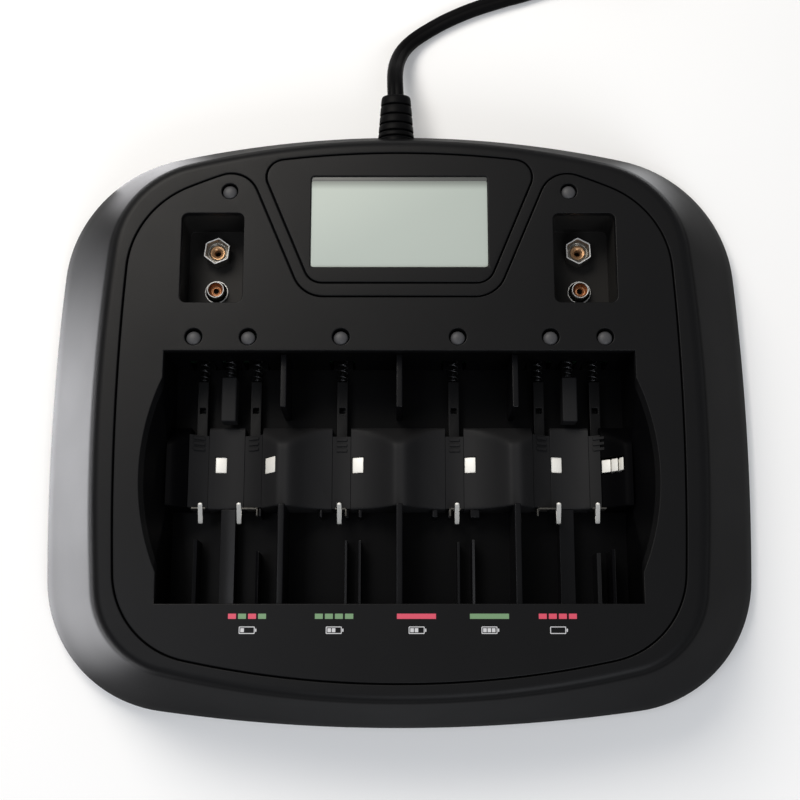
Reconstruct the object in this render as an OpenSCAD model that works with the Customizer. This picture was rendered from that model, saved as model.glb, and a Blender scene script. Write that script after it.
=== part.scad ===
// Mains battery charger for round cells and nine volt blocks.
// The origin is at the bottom centre of the body, +X to the right, +Y to the back, +Z up.

/* [Body] */
// Half the width of the body at its foot
base_half_w = 111.9; // [108:0.1:116]
// Front edge of the body at its foot
base_front = -97.4; // [-100:0.1:-95]
// Back edge of the body at its foot
base_back = 96.6; // [94:0.1:99]
// Height of the deck above the surface that the charger stands on
deck_z = 38; // [38:0.5:44]
// Half the width of the deck
deck_half_w = 91.2; // [90:0.1:93]
// Front edge of the deck
deck_front = -89.5; // [-91:0.1:-88]
// Back edge of the deck
deck_back = 81.8; // [81:0.1:84]
// Thickness of the moulded walls
wall = 2.3; // [1.8:0.1:2.6]
// Height of the rubber feet below the body
foot_h = 2; // [1:0.5:3]

/* [Deck panel] */
// Half the width of the set-in deck panel
panel_half_w = 84.7; // [84:0.1:85.5]
// Front edge of the deck panel
panel_front = -84.2; // [-85:0.1:-83]
// Thickness of the deck panel
panel_t = 2.4; // [2:0.1:3]
// Width of the groove round the panel and the display cover
groove_w = 0.45; // [0.3:0.05:0.7]

/* [Cell bay] */
// Half the width of the straight part of the bay
bay_half_w = 71.1; // [70.5:0.1:72]
// Front edge of the bay
bay_front = -61.6; // [-63:0.1:-61]
// Back edge of the bay
bay_back = 14.05; // [13.5:0.05:14.5]
// How far a finger scoop reaches past the straight side
scoop_reach = 6; // [4:0.5:7]
// Depth of a finger scoop below the deck
scoop_depth = 15; // [12:0.5:18]
// Distance between the axes of the large cells
cell_pitch = 35.4; // [35:0.1:36]
// Radius of the troughs for the large cells
trough_r = 17; // [16.8:0.1:17.2]
// Depth of the large cells' axis below the deck
trough_axis_depth = 3.5; // [3:0.1:4.2]

/* [Contact sliders] */
// How far each contact slider can be pushed back
slider_travel = 36; // [30:0.5:36]
// Height of the top of the contact blades below the deck
blade_top_depth = 7.5; // [7:0.5:9]
// How far each size plunger can be pushed back
plunger_travel = 5; // [3:0.5:5]

/* [Nine volt recesses] */
// Width of a recess
recess_w = 19.1; // [18.5:0.1:20]
// Length of a recess
recess_l = 28.6; // [28:0.1:29.5]
// Depth of a recess below the deck
recess_depth = 17.2; // [16:0.1:18]
// Places of the middles of the two recesses, from left to right
recess_x = [-57.45, 56.95];
// Position of the middle of a recess from front to back
recess_y = 43.55; // [43:0.05:44]
// Places of the snap terminals in them, from left to right
snap_x = [-57.45, 56.55];
// Distance between the two snap terminals
snap_pitch = 12.7; // [12.5:0.1:12.9]
// How far the hexagonal terminals are turned
hex_turn = [23, 32];

/* [Display] */
// Half the width of the display window
window_half_w = 27.3; // [26:0.1:28]
// Front edge of the display window
window_front = 40.5; // [40:0.1:42]
// Back edge of the display window
window_back = 70; // [68:0.1:71]

/* [Indicators] */
// Diameter of an indicator lens
lens_d = 4.4; // [4:0.1:4.8]
// Distance of the row of indicators from the centre line, inner to outer
lens_x = [17.7, 45.8, 62.3];
// Position of the row of indicators from front to back
lens_y = 18; // [17.8:0.1:18.5]
// Distance of the recess indicators from the centre
recess_lens_x = 52.5; // [52:0.1:53]
// Position of the recess indicators from front to back
recess_lens_y = 64.75; // [64:0.05:65.5]

/* [Cord] */
// Width of the flat two-core cord
cord_w = 5.4; // [5:0.1:6]
// Thickness of the flat two-core cord
cord_t = 3.4; // [3:0.1:3.6]
// Radius of the coil at the middle of its turns
coil_r = 31; // [29:0.5:34]

/* [Hidden] */

eps = 0.05;
body_bottom = foot_h;
seam_z = body_bottom + 2.6;
lip_z = seam_z + 1.4;
fillet_drop = 3;
fillet_run = 2.6;
panel_z = deck_z - panel_t;
ledge_t = 2.2;
ledge_w = 2.4;

// A crowned outline is [half width, front, back, front radius, back radius,
// side radius, side centre, front corner radius, back corner radius].
base_shape = [base_half_w, base_front, base_back, 539, 337, 807, -8.2, 42.5, 45.5];
deck_shape = [deck_half_w, deck_front, deck_back, 299, 270, 532, -9.3, 26, 30.7];
panel_shape = [panel_half_w, panel_front, 79.6, 298, 165, 800, -7, 26.7, 29.9];
panel_corner_r = 8.5;
// Front edge and slope of the notch that the display cover's frame fills
notch_front = 30.85;
notch_half_w = 29.8;
notch_slope = 0.42;
notch_r = 10;
cover_front = 35.65;
cover_half_w = 27.3;
cover_back = 77.45;
cover_crown_r = 298;
cover_corner = [43.7, 75];
cover_corner_r = 5.5;

trough_x = [for (k = [-1.5:1:1.5]) k * cell_pitch];
trough_z = deck_z - trough_axis_depth;
rib_x = [-cell_pitch, 0, cell_pitch];
rib_w = 2;
rib_z = deck_z - 6.4;
rail_z = deck_z - 13.4;
tray_floor_z = 10.6;
tray_t = 1.6;
tray_front = bay_front - 0.9;
tray_back = bay_back + 0.55;
tray_back_wall = 1;
scoop_r = 73.8;
scoop_x = bay_half_w + scoop_reach - scoop_r;
scoop_y = -23.4;

saddle_front = -31.5;
saddle_back = -5.8;
saddle_cusp_back = -11.7;
saddle_top = deck_z - 11.4;
slot_gap = 0.3;
strip_half_w = 2.6;
arm_half_w = 1.7;
slider_z = tray_floor_z + 0.3;
arm_top = deck_z - 22.8;
strip_front = saddle_front + 0.3;
strip_back = -8.5;
arm_back = 9.7;
spring_r = 1.45;
spring_wire = 0.2;
spring_turns = 26;
spring_z = 13.05;
spring_end = arm_back + slider_travel + 12;
channel_start = 28.5;
spigot_r = 0.85;
blade_w = 1.6;
blade_t = 0.5;
blade_lean = 4.7;
blade_foot_y = saddle_front - 4.3;

// Slots 1 to 6 run from left to right: the places of the sliders, of the contact
// blades on them and of the rails in front of them
slot_x = [-62.1, -45.3, -18, 17.2, 44.1, 61.8];
blade_x = [-60.3, -48.6, -18.2, 17.5, 48.3, 60.1];
// A narrow rail in front of the saddle is [middle, width, back end]
rails = [[-62.3, 1.1, -41], [-43.3, 0.9, -44.7], [-16.4, 0.9, -41], [-12.2, 0.9, -41], [18.2, 0.9, -41.4],
    [22.7, 1, -40.8], [60.9, 1.3, -45], [65, 0.9, -44.2]];
// A stub at the foot of the saddle is [middle, width]
stubs = [[-42.8, 0.7], [-24.2, 0.8], [-16.2, 1], [-12.1, 1], [11, 1.6], [15.6, 0.9], [23.4, 2.8]];
stub_l = 2.4;
wide_rail_x = [-52.8, 51.6];
front_contact_x = [-60.4, -45.2, -18.2, 17, 44.8, 58.9];
function trough_of(x) = trough_x[floor((x + 2 * cell_pitch) / cell_pitch)];
function trough_surface_z(x) = trough_z - sqrt(pow(trough_r, 2) - pow(x - trough_of(x), 2));

plunger_x = 1.5 * cell_pitch;
plunger_w = 4.7;
plunger_front = -4.5;
plunger_top = deck_z - 16;
plunger_z = plunger_top - 6.5;
plunger_spring_end = arm_back + plunger_travel + 6.1;
plunger_spring_z = plunger_z + 3.25;
plunger_spring_turns = 7;

pad_x = [-55.5, -39.6, -12.9, 22, 48.9, 66.5];
pad_y = -17.55;
pad_w = 3.4;
pad_l = 4.9;

cup_wall = 1.2;
recess_z = deck_z - recess_depth;
snap_board_t = 1.2;
hex_r = 4.15;
hex_h = 5.2;
stud_r = 2.7;
stud_h = 3;
flange_r = 3.7;
snap_pin_r = 1.5;

lcd_half_w = window_half_w + 1.6;
lcd_front = window_front - 1.8;
lcd_back = window_back + 1.8;
lcd_z = deck_z - 5.4;
lcd_top = panel_z - 0.2;
lcd_rim = 0.5;
backlight_z = lcd_z - 2;
display_board_z = backlight_z - 1.6;
indicator_board_z = 26.6;
indicator_board_t = 1.4;
lens_shift = 0.3;
board_t = 1.6;
main_board_z = 5.6;

boss_places = [[-84.5, -58], [84.5, -58], [-84.5, 48], [84.5, 48]];
foot_places = [[-88, -74], [88, -74], [-88, 64], [88, 64]];
boss_r = 4;
screw_r = 1.5;
// Pegs that hold the boards and posts that carry the cell tray
peg_r = 1;
peg_gap = 0.15;
main_board_pegs = [[-69, 24], [69, 24], [-69, 74], [69, 74]];
display_board_pegs = [[-31.6, 39.8], [31.6, 39.8], [-39.6, 63], [39.6, 63]];
indicator_board_pegs = [[-32, 20.6], [32, 20.6]];
tray_posts = [[-56, -52], [56, -52], [0, -52], [-56, 6], [56, 6]];

relief_y = 90.6;
relief_end = 106.4;
relief_x = -1.1;
relief_z = 16.5;
relief_w = [12, 9.6];
relief_h = [9, 6.6];
relief_grooves = 5;
relief_flange_r = 5.6;

coil_centre = [74, 197];
coil_h = 11;
coil_band = 14;
coil_edge = 3;
// The cord's way from the strain relief down to the floor and out to the coil
cord_route = [[-1.2, 105.9, 16.5], [-1.4, 111, 15.8], [-1.4, 117, 12.8], [-0.7, 123, 8.6], [1.2, 129, 4.8],
    [4.7, 133.9, 2.7], [9.8, 138, 1.9], [16.4, 142, 1.8], [25.5, 146.2, 1.8], [36.5, 150, 1.8],
    [48, 153.4, 2.2], [60, 157, 2.8], [70, 159.9, 2.8]];
// The cord's way from the coil to the plug
cord_tail = [[40, 209.4, 8.1], [37.4, 203.4, 7.4], [33.4, 198.4, 6.2], [28, 194.6, 4.9], [21.6, 192.4, 4.3],
    [14.6, 191.6, 4.7], [8, 191.6, 5.8], [2, 191.6, 6.8], [-3, 191.6, 6.85]];
// A flat two-pin mains plug that lies on its broad side, pins to -X
plug_place = [0, 191.6];
plug_l = 36;
plug_w = 35;
plug_h = 13.6;
plug_neck_l = 12;
plug_neck = [17, 10];
plug_throat = [14, 10];
plug_exit = [8, 6];
plug_z = plug_h / 2 + eps;
pin_pitch = 19;
pin_l = 19;
pin_r = 2;
sleeve_l = 10;

// Outline helpers
function arc_points(c, r, a0, a1, n) = [for (i = [0:n - 1]) let(a = a0 + (a1 - a0) * i / n)
    [c.x + r * cos(a), c.y + r * sin(a)]];
function inner_tangent(c1, r1, c2, r2, r, side) =
    let(d = c2 - c1, l = norm(d), a = r1 - r, b = r2 - r,
        t = (a * a - b * b + l * l) / (2 * l), h = sqrt(max(0, a * a - t * t)), u = d / l)
    c1 + u * t + side * h * [-u.y, u.x];
function heading(c, p) = atan2(p.y - c.y, p.x - c.x);
function inset(s, e) = [s[0] - e, s[1] + e, s[2] - e, s[3] - e, s[4] - e, s[5] - e, s[6], s[7] - e, s[8] - e];
function half_outline(s, n) =
    let(front = [0, s[1] + s[3]], back = [0, s[2] - s[4]], side = [s[0] - s[5], s[6]],
        front_corner = inner_tangent(front, s[3], side, s[5], s[7], 1),
        back_corner = inner_tangent(back, s[4], side, s[5], s[8], -1),
        a1 = heading(front, front_corner), a2 = heading(side, front_corner),
        a3 = heading(side, back_corner), a4 = heading(back, back_corner))
    concat(arc_points(front, s[3], -90, a1, n), arc_points(front_corner, s[7], a1, a2, n),
        arc_points(side, s[5], a2, a3, n), arc_points(back_corner, s[8], a3, a4, n),
        arc_points(back, s[4], a4, 90, n), [[0, s[2]]]);
function crowned(s, n = 8) =
    let(right = half_outline(s, n), count = len(right))
    concat(right, [for (i = [count - 2:-1:1]) [-right[i].x, right[i].y]]);
function blend(a, b, t) = [for (i = [0:len(a) - 1]) a[i] + (b[i] - a[i]) * t];
function at_height(points, z) = [for (p = points) [p.x, p.y, z]];

// A closed solid through rings that have the same number of points
module skin(rings) {
    n = len(rings[0]);
    last = len(rings) - 1;
    points = [for (ring = rings) each ring];
    sides = [for (k = [0:last - 1], i = [0:n - 1]) let(a = k * n + i, b = k * n + (i + 1) % n)
        each [[a, a + n, b], [a + n, b + n, b]]];
    bottom = [[for (i = [0:n - 1]) i]];
    top = [[for (i = [n - 1:-1:0]) last * n + i]];
    polyhedron(points, concat(sides, bottom, top));
}

// A box between two corners
module block(low, high) {
    translate([min(low.x, high.x), low.y, low.z])
        cube([abs(high.x - low.x), high.y - low.y, high.z - low.z]);
}

module rounded_plate(low, high, r) {
    translate([low.x + r, low.y + r, low.z])
        linear_extrude(high.z - low.z)
            offset(r)
                square([high.x - low.x - 2 * r, high.y - low.y - 2 * r]);
}

// A round bar along +Y
module rod(place, r, length) {
    translate(place)
        rotate([-90, 0, 0])
            cylinder(r = r, h = length, $fn = 64);
}

// The body's outer form, from the foot of the skirt to the deck
module body_form(grow, low, top) {
    n = 8;
    foot = crowned(inset(base_shape, -grow), n);
    edge = crowned(inset(deck_shape, -grow), n);
    flat = crowned(inset(deck_shape, fillet_run - grow), n);
    slope = (top - fillet_drop - lip_z) / (top - lip_z);
    below = blend(foot, edge, slope);
    bend = [for (s = [0:0.25:1])
        at_height([for (i = [0:len(edge) - 1])
            below[i] * (1 - s) * (1 - s) + edge[i] * 2 * s * (1 - s) + flat[i] * s * s],
            top - fillet_drop * (1 - s) * (1 - s))];
    skin(concat([at_height(foot, low), at_height(foot, lip_z)], bend));
}

module notch_2d() {
    reach = 60;
    offset(notch_r)
        offset(-notch_r)
            polygon([[-notch_half_w, notch_front], [notch_half_w, notch_front],
                [notch_half_w + notch_slope * reach, notch_front + reach],
                [-notch_half_w - notch_slope * reach, notch_front + reach]]);
}

module panel_2d(grow = 0) {
    offset(grow)
        offset(panel_corner_r)
            offset(-panel_corner_r)
                difference() {
                    polygon(crowned(panel_shape, 9));
                    notch_2d();
                }
}

// The display cover: narrow at the front, crowned at the back
module cover_2d(grow = 0) {
    offset(grow)
        offset(cover_corner_r)
            offset(-cover_corner_r)
                intersection() {
                    polygon([[-cover_half_w, cover_front], [cover_half_w, cover_front],
                        [cover_corner.x + 1.2, cover_corner.y + 3],
                        [-cover_corner.x - 1.2, cover_corner.y + 3]]);
                    translate([0, cover_back - cover_crown_r])
                        circle(cover_crown_r, $fn = 360);
                }
}

module bosses(z0, z1, r) {
    posts(boss_places, z0, z1, r);
}

module posts(places, z0, z1, r) {
    for (p = places)
        translate([p.x, p.y, z0])
            cylinder(r = r, h = z1 - z0, $fn = 48);
}

// Posts above a board, each with a peg through it and a melted head below
module hanging_pegs(places, root, board_top, board_bottom) {
    posts(places, board_top + eps, root, 1.6);
    posts(places, board_bottom - 0.7, root, peg_r);
    posts(places, board_bottom - 0.7, board_bottom - eps, peg_r + 0.6);
}

module upper_shell() {
    color([0.10, 0.10, 0.11])
        difference() {
            union() {
                difference() {
                    body_form(0, seam_z, deck_z);
                    body_form(-wall, seam_z - 1, deck_z - panel_t);
                }
                translate([0, 0, panel_z - ledge_t])
                    linear_extrude(ledge_t + eps)
                        panel_2d(ledge_w);
                translate([0, 0, panel_z - ledge_t])
                    linear_extrude(ledge_t + eps)
                        cover_2d(ledge_w);
                bosses(lip_z + 1.6, panel_z + eps, boss_r);
                hanging_pegs(display_board_pegs, panel_z - ledge_t + eps, backlight_z - eps, display_board_z);
            }
            translate([0, 0, panel_z])
                linear_extrude(panel_t + 1)
                    panel_2d(groove_w);
            translate([0, 0, panel_z - ledge_t - 1])
                linear_extrude(ledge_t + 2)
                    panel_2d(-ledge_w);
            translate([0, 0, panel_z])
                linear_extrude(panel_t + 1)
                    cover_2d(groove_w);
            translate([0, 0, panel_z - ledge_t - 1])
                linear_extrude(ledge_t + 2)
                    cover_2d(-ledge_w);
            block([-lcd_half_w - 0.3, lcd_front - 0.3, panel_z - ledge_t - 1],
                [lcd_half_w + 0.3, lcd_back + 0.3, panel_z]);
            bosses(lip_z, lip_z + 16, screw_r + 0.05);
            rod([relief_x, relief_y - 12, relief_z], relief_flange_r + 0.7, 24);
        }
}

module lower_shell() {
    n = 8;
    color([0.09, 0.09, 0.10])
        difference() {
            union() {
                skin([at_height(crowned(inset(base_shape, 1.2), n), body_bottom),
                    at_height(crowned(base_shape, n), body_bottom + 1.2),
                    at_height(crowned(base_shape, n), seam_z - 0.5),
                    at_height(crowned(inset(base_shape, 0.5), n), seam_z - 0.4),
                    at_height(crowned(inset(base_shape, 0.5), n), seam_z)]);
                bosses(seam_z - eps, lip_z + 1.5, boss_r + 1.5);
                posts(tray_posts, seam_z - eps, tray_floor_z - tray_t - eps, 3);
                posts(main_board_pegs, seam_z - eps, main_board_z - eps, 3);
                posts(main_board_pegs, seam_z - eps, main_board_z + board_t + 0.8, peg_r + 0.4);
                difference() {
                    translate([0, 0, seam_z - eps])
                        linear_extrude(lip_z - seam_z)
                            polygon(crowned(inset(base_shape, wall + 0.3), n));
                    translate([0, 0, seam_z - 2 * eps])
                        linear_extrude(3)
                            polygon(crowned(inset(base_shape, wall + 1.9), n));
                }
            }
            for (side = [-1, 1], k = [-4:4])
                translate([side * 42 + 4 * k, 40, body_bottom - 1])
                    rounded_plate([-0.9, 0, 0], [0.9, 22, 6], 0.8);
            for (p = foot_places)
                translate([p.x, p.y, body_bottom - 1])
                    cylinder(d = 14.4, h = 1.6, $fn = 64);
            bosses(body_bottom - 1, lip_z + 3, screw_r + 0.2);
            bosses(body_bottom - 1, body_bottom + 2, 3.4);
        }
}

// The finger scoops: a flat cone on each side of the bay
module scoops(grow, low, high) {
    run = scoop_reach / scoop_depth;
    low_r = scoop_r + grow - run * (deck_z - low);
    high_r = scoop_r + grow + run * (high - deck_z);
    for (side = [-1, 1])
        intersection() {
            translate([side * scoop_x, scoop_y, low])
                cylinder(r1 = low_r, r2 = high_r, h = high - low, $fn = 180);
            translate([side > 0 ? 60 : -100, scoop_y - 34, low - 1])
                cube([40, 68, high - low + 2]);
        }
}

module deck_panel() {
    half_w = recess_w / 2;
    half_l = recess_l / 2;
    color([0.12, 0.12, 0.13])
        difference() {
            union() {
                translate([0, 0, panel_z])
                    linear_extrude(panel_t)
                        panel_2d();
                for (k = [0, 1])
                    translate([recess_x[k], recess_y, recess_z - cup_wall])
                        rounded_plate([-half_w - cup_wall, -half_l - cup_wall, 0],
                            [half_w + cup_wall, half_l + cup_wall, recess_depth + cup_wall - 1], 3);
                hanging_pegs(indicator_board_pegs, panel_z + eps, indicator_board_z + indicator_board_t,
                    indicator_board_z);
            }
            block([-bay_half_w, bay_front, panel_z - 1], [bay_half_w, bay_back, deck_z + 1]);
            scoops(0, panel_z - 1, deck_z + 1);
            for (k = [0, 1]) {
                translate([recess_x[k], recess_y, recess_z])
                    rounded_plate([-half_w, -half_l, 0], [half_w, half_l, recess_depth + 1], 2);
                for (end = [-1, 1])
                    translate([snap_x[k], recess_y + end * snap_pitch / 2, recess_z - 3])
                        cylinder(r = snap_pin_r + 0.7, h = 5, $fn = 48);
            }
            for (side = [-1, 1]) {
                translate([side * recess_lens_x, recess_lens_y, panel_z - 1])
                    cylinder(d = lens_d + 0.7, h = panel_t + 2, $fn = 48);
                for (x = lens_x)
                    translate([side * x, lens_y + lens_shift, panel_z - 1])
                        cylinder(d = lens_d + 1.1, h = panel_t + 2, $fn = 48);
            }
        }
}

module display_cover() {
    color([0.12, 0.12, 0.13])
        difference() {
            translate([0, 0, panel_z])
                linear_extrude(panel_t)
                    cover_2d();
            translate([0, 0, panel_z - 1])
                window_plate(0, panel_t + 2);
        }
}

module window_plate(inset, height) {
    rounded_plate([-window_half_w + inset, window_front + inset, 0],
        [window_half_w - inset, window_back - inset, height], 1);
}

module lcd_panel() {
    color([0.66, 0.70, 0.64])
        union() {
            block([-lcd_half_w, lcd_front, lcd_z], [lcd_half_w, lcd_back, lcd_top]);
            translate([0, 0, lcd_top - eps])
                difference() {
                    window_plate(eps, deck_z - 0.5 - lcd_top);
                    translate([0, 0, -1])
                        window_plate(lcd_rim, 5);
                }
        }
}

module lcd_backlight() {
    color([0.85, 0.86, 0.82])
        block([-lcd_half_w, lcd_front, backlight_z], [lcd_half_w, lcd_back, lcd_z - eps]);
}

module display_board() {
    color([0.10, 0.32, 0.18])
        difference() {
            union() {
                block([-34, 36.6, display_board_z], [34, 73.6, backlight_z - eps]);
                block([-57, 60.4, display_board_z], [57, 69.6, backlight_z - eps]);
            }
            posts(display_board_pegs, display_board_z - 1, backlight_z + 1, peg_r + peg_gap);
        }
}

module indicator_board() {
    color([0.10, 0.32, 0.18])
        difference() {
            block([-66, 16.2, indicator_board_z], [66, 25.5, indicator_board_z + indicator_board_t]);
            posts(indicator_board_pegs, indicator_board_z - 1, indicator_board_z + 3, peg_r + peg_gap);
        }
}

module main_board() {
    color([0.10, 0.32, 0.18])
        difference() {
            rounded_plate([-74, 18, main_board_z], [74, 80, main_board_z + board_t], 2);
            posts(main_board_pegs, main_board_z - 1, main_board_z + board_t + 1, peg_r + 0.4 + peg_gap);
        }
}

module transformer() {
    z = main_board_z + board_t + eps;
    y = 67;
    color([0.78, 0.66, 0.25])
        union() {
            for (low = [z, z + 14])
                block([-12, y - 10, low], [12, y + 10, low + 3]);
            translate([0, y, z + 2])
                cylinder(r = 8, h = 13, $fn = 64);
            for (x = [-10.25, 10.25])
                block([x - 1.75, y - 5, z + 2], [x + 1.75, y + 5, z + 15]);
        }
}

module filter_capacitor() {
    r = 7;
    color([0.15, 0.17, 0.35])
        rod([30, 56, main_board_z + board_t + r + eps], r, 20);
}

// Side profile of the saddle that the cells lie across
module saddle_block() {
    rotate([90, 0, 90])
        translate([0, 0, -bay_half_w - eps])
            linear_extrude(2 * bay_half_w + 2 * eps)
                polygon([[saddle_front, tray_floor_z - eps], [saddle_back, tray_floor_z - eps],
                    [saddle_back, trough_z - trough_r], [saddle_cusp_back, saddle_top],
                    [saddle_front, saddle_top]]);
}

function stub_z(x) = trough_surface_z(x) - 0.8;

module front_rail(x, width, end) {
    block([x - width / 2, tray_front - eps, tray_floor_z - eps], [x + width / 2, end, rail_z]);
}

module trough_cut(r) {
    for (x = trough_x)
        rod([x, tray_front - 1, trough_z], r, -tray_front + 1);
}

module slot_cuts() {
    for (i = [0:5]) {
        half = strip_half_w + slot_gap;
        block([slot_x[i] - half, saddle_front - 1, tray_floor_z],
            [slot_x[i] + half, saddle_back + 1, deck_z]);
    }
    for (k = [0:5])
        block([pad_x[k] - pad_w / 2 - 0.2, pad_y - pad_l / 2 - 0.2, pad_z(k) - 2],
            [pad_x[k] + pad_w / 2 + 0.2, pad_y + pad_l / 2 + 0.2, deck_z]);
}

function pad_z(k) = trough_surface_z(pad_x[k]) - 1.4;

module tray_body() {
    difference() {
        union() {
            block([-bay_half_w - tray_t, tray_front - tray_t, tray_floor_z - tray_t],
                [bay_half_w + tray_t, tray_back + tray_back_wall, panel_z - eps]);
            scoops(tray_t, panel_z - 13, panel_z - eps);
        }
        block([-bay_half_w, tray_front, tray_floor_z], [bay_half_w, tray_back, deck_z]);
        scoops(0, deck_z - scoop_depth, deck_z);
        for (i = [0:5])
            block([slot_x[i] - 4, tray_back - 1, tray_floor_z], [slot_x[i] + 4, tray_back + 2, 22.6]);
        for (side = [-1, 1])
            block([side * plunger_x - 2.8, tray_back - 1, tray_floor_z],
                [side * plunger_x + 2.8, tray_back + 2, plunger_top + 0.6]);
    }
}

// The floor, walls and end stop that guide one slider and its spring behind the bay
module slider_channel(x) {
    outer = arm_half_w + 0.4 + 1;
    block([x - outer, tray_back, tray_floor_z - tray_t], [x + outer, spring_end + tray_t, tray_floor_z]);
    for (side = [-1, 1])
        block([x + side * (outer - 0.5) - 0.5, channel_start, tray_floor_z - eps],
            [x + side * (outer - 0.5) + 0.5, spring_end + tray_t, arm_top - 0.4]);
    block([x - outer, spring_end + eps, tray_floor_z - eps], [x + outer, spring_end + tray_t, arm_top - 0.4]);
}

module plunger_guide(x) {
    half = 1.4;
    block([x - half, 0, tray_floor_z - eps], [x + half, plunger_spring_end + tray_t, plunger_z - 0.2]);
    block([x - 2.6, tray_back + tray_back_wall - eps, tray_floor_z - tray_t],
        [x + 2.6, plunger_spring_end + tray_t, tray_floor_z]);
    block([x - 2.6, plunger_spring_end + eps, tray_floor_z - eps],
        [x + 2.6, plunger_spring_end + tray_t, plunger_top]);
}

module cell_tray() {
    color([0.16, 0.16, 0.17])
        union() {
            tray_body();
            difference() {
                union() {
                    saddle_block();
                    for (x = rib_x)
                        block([x - rib_w / 2, tray_front - eps, tray_floor_z - eps],
                            [x + rib_w / 2, saddle_front + eps, rib_z]);
                    for (x = wide_rail_x)
                        front_rail(x, 4.6, saddle_front + eps);
                    for (rail = rails)
                        front_rail(rail[0], rail[1], rail[2]);
                    for (stub = stubs)
                        block([stub[0] - stub[1] / 2, saddle_front - stub_l, tray_floor_z - eps],
                            [stub[0] + stub[1] / 2, saddle_front + eps, stub_z(stub[0])]);
                }
                trough_cut(trough_r);
                slot_cuts();
            }
            for (x = rib_x)
                block([x - rib_w / 2, -2, tray_floor_z - eps], [x + rib_w / 2, tray_back + eps, rib_z]);
            for (i = [0:5])
                slider_channel(slot_x[i]);
            for (side = [-1, 1])
                plunger_guide(side * plunger_x);
        }
}

module slider(i) {
    x = slot_x[i];
    length = strip_back - strip_front + 2;
    color([0.24, 0.24, 0.25])
        difference() {
            union() {
                difference() {
                    block([x - strip_half_w, strip_front, slider_z],
                        [x + strip_half_w, strip_back, deck_z - 15]);
                    rod([trough_of(x), strip_front - 1, trough_z], trough_r + 0.15, length);
                }
                difference() {
                    for (k = [0:2])
                        block([x - 1.6, strip_back - 1.4 - 1.7 * k, slider_z + 1],
                            [x + 1.6, strip_back - 0.6 - 1.7 * k, deck_z - 15]);
                    rod([trough_of(x), strip_front - 1, trough_z], trough_r - 0.3, length);
                }
                block([x - arm_half_w, strip_back - eps, slider_z], [x + arm_half_w, arm_back, arm_top]);
                rod([x, arm_back - eps, spring_z], spigot_r, 3.5);
            }
            block([x - 0.9, -0.6, arm_top - 1.6], [x + 0.9, 1.2, arm_top + 1]);
        }
}

// The bent metal strip on the front of one slider
module contact(i) {
    x = slot_x[i];
    b = blade_x[i];
    top = deck_z - blade_top_depth;
    foot = trough_surface_z(b) + 0.95;
    knee = foot + 1.4;
    front = blade_foot_y;
    plate_front = strip_front - eps - blade_t;
    low = min(x - 1.8, b - blade_w / 2);
    high = max(x + 1.8, b + blade_w / 2);
    color([0.86, 0.85, 0.80])
        union() {
            block([x - 1.8, plate_front, foot - 4], [x + 1.8, strip_front - eps, foot + 0.1]);
            block([low, plate_front, foot], [high, strip_front - eps, foot + 1.3]);
            block([x - 1.8 * sign(b), plate_front - 2, foot - 0.6],
                [x - 1.3 * sign(b), plate_front + eps, foot + 1.3]);
            translate([b - blade_w / 2, 0, 0])
                rotate([90, 0, 90])
                    linear_extrude(blade_w)
                        polygon([[plate_front + eps, foot], [front - blade_t, foot], [front - blade_t, knee],
                            [front + blade_lean - blade_t, top], [front + blade_lean, top],
                            [front, knee - 0.1], [front, foot + 0.5], [plate_front + eps, foot + 0.5]]);
        }
}

// A coil spring along +Y, swept as one polyhedron
module coil_spring(x, z, y0, y1, turns) {
    steps = 6;
    sides = 3;
    count = round(turns * steps);
    rings = [for (k = [0:count]) let(a = 360 * k / steps, y = y0 + (y1 - y0) * k / count)
        [for (j = [0:sides - 1]) let(b = 120 * j + 90)
            [x + (spring_r + spring_wire * cos(b)) * cos(a), y + spring_wire * sin(b),
                z + (spring_r + spring_wire * cos(b)) * sin(a)]]];
    color([0.72, 0.72, 0.74])
        skin(rings);
}

module slider_spring(i) {
    coil_spring(slot_x[i], spring_z, arm_back + 0.4, spring_end - 0.4, spring_turns);
}

module plunger(side) {
    x = side * plunger_x;
    color([0.24, 0.24, 0.25])
        union() {
            block([x - plunger_w / 2, plunger_front, plunger_z], [x + plunger_w / 2, arm_back, plunger_top]);
            rod([x, arm_back - eps, plunger_spring_z], spigot_r, 3);
        }
}

module plunger_spring(side) {
    coil_spring(side * plunger_x, plunger_spring_z, arm_back + 0.4, plunger_spring_end - 0.4,
        plunger_spring_turns);
}

module front_contacts() {
    y0 = tray_front + eps;
    color([0.86, 0.85, 0.80])
        union() {
            for (x = front_contact_x)
                block([x - 1, y0, 19], [x + 1, y0 + 0.8, 27]);
            for (x = trough_x)
                block([x - 5, y0, 27.4], [x + 5, y0 + 0.8, 35.2]);
        }
}

module sense_pads() {
    color([0.90, 0.89, 0.84])
        union() {
            for (k = [0:5])
                block([pad_x[k] - pad_w / 2, pad_y - pad_l / 2, pad_z(k) - 2 + eps],
                    [pad_x[k] + pad_w / 2, pad_y + pad_l / 2, pad_z(k)]);
        }
}

// The larger terminal of a nine volt recess, a six-sided cup
module snap_hex(k) {
    z = recess_z + eps;
    translate([snap_x[k], recess_y + snap_pitch / 2, 0])
        color([0.80, 0.80, 0.80])
            difference() {
                union() {
                    translate([0, 0, z])
                        rotate(hex_turn[k])
                            cylinder(r = hex_r, h = hex_h, $fn = 6);
                    snap_pin();
                }
                translate([0, 0, z + hex_h - 2.8])
                    cylinder(r = 3.1, h = 4, $fn = 48);
                snap_hole(z + 1.2);
            }
}

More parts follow.
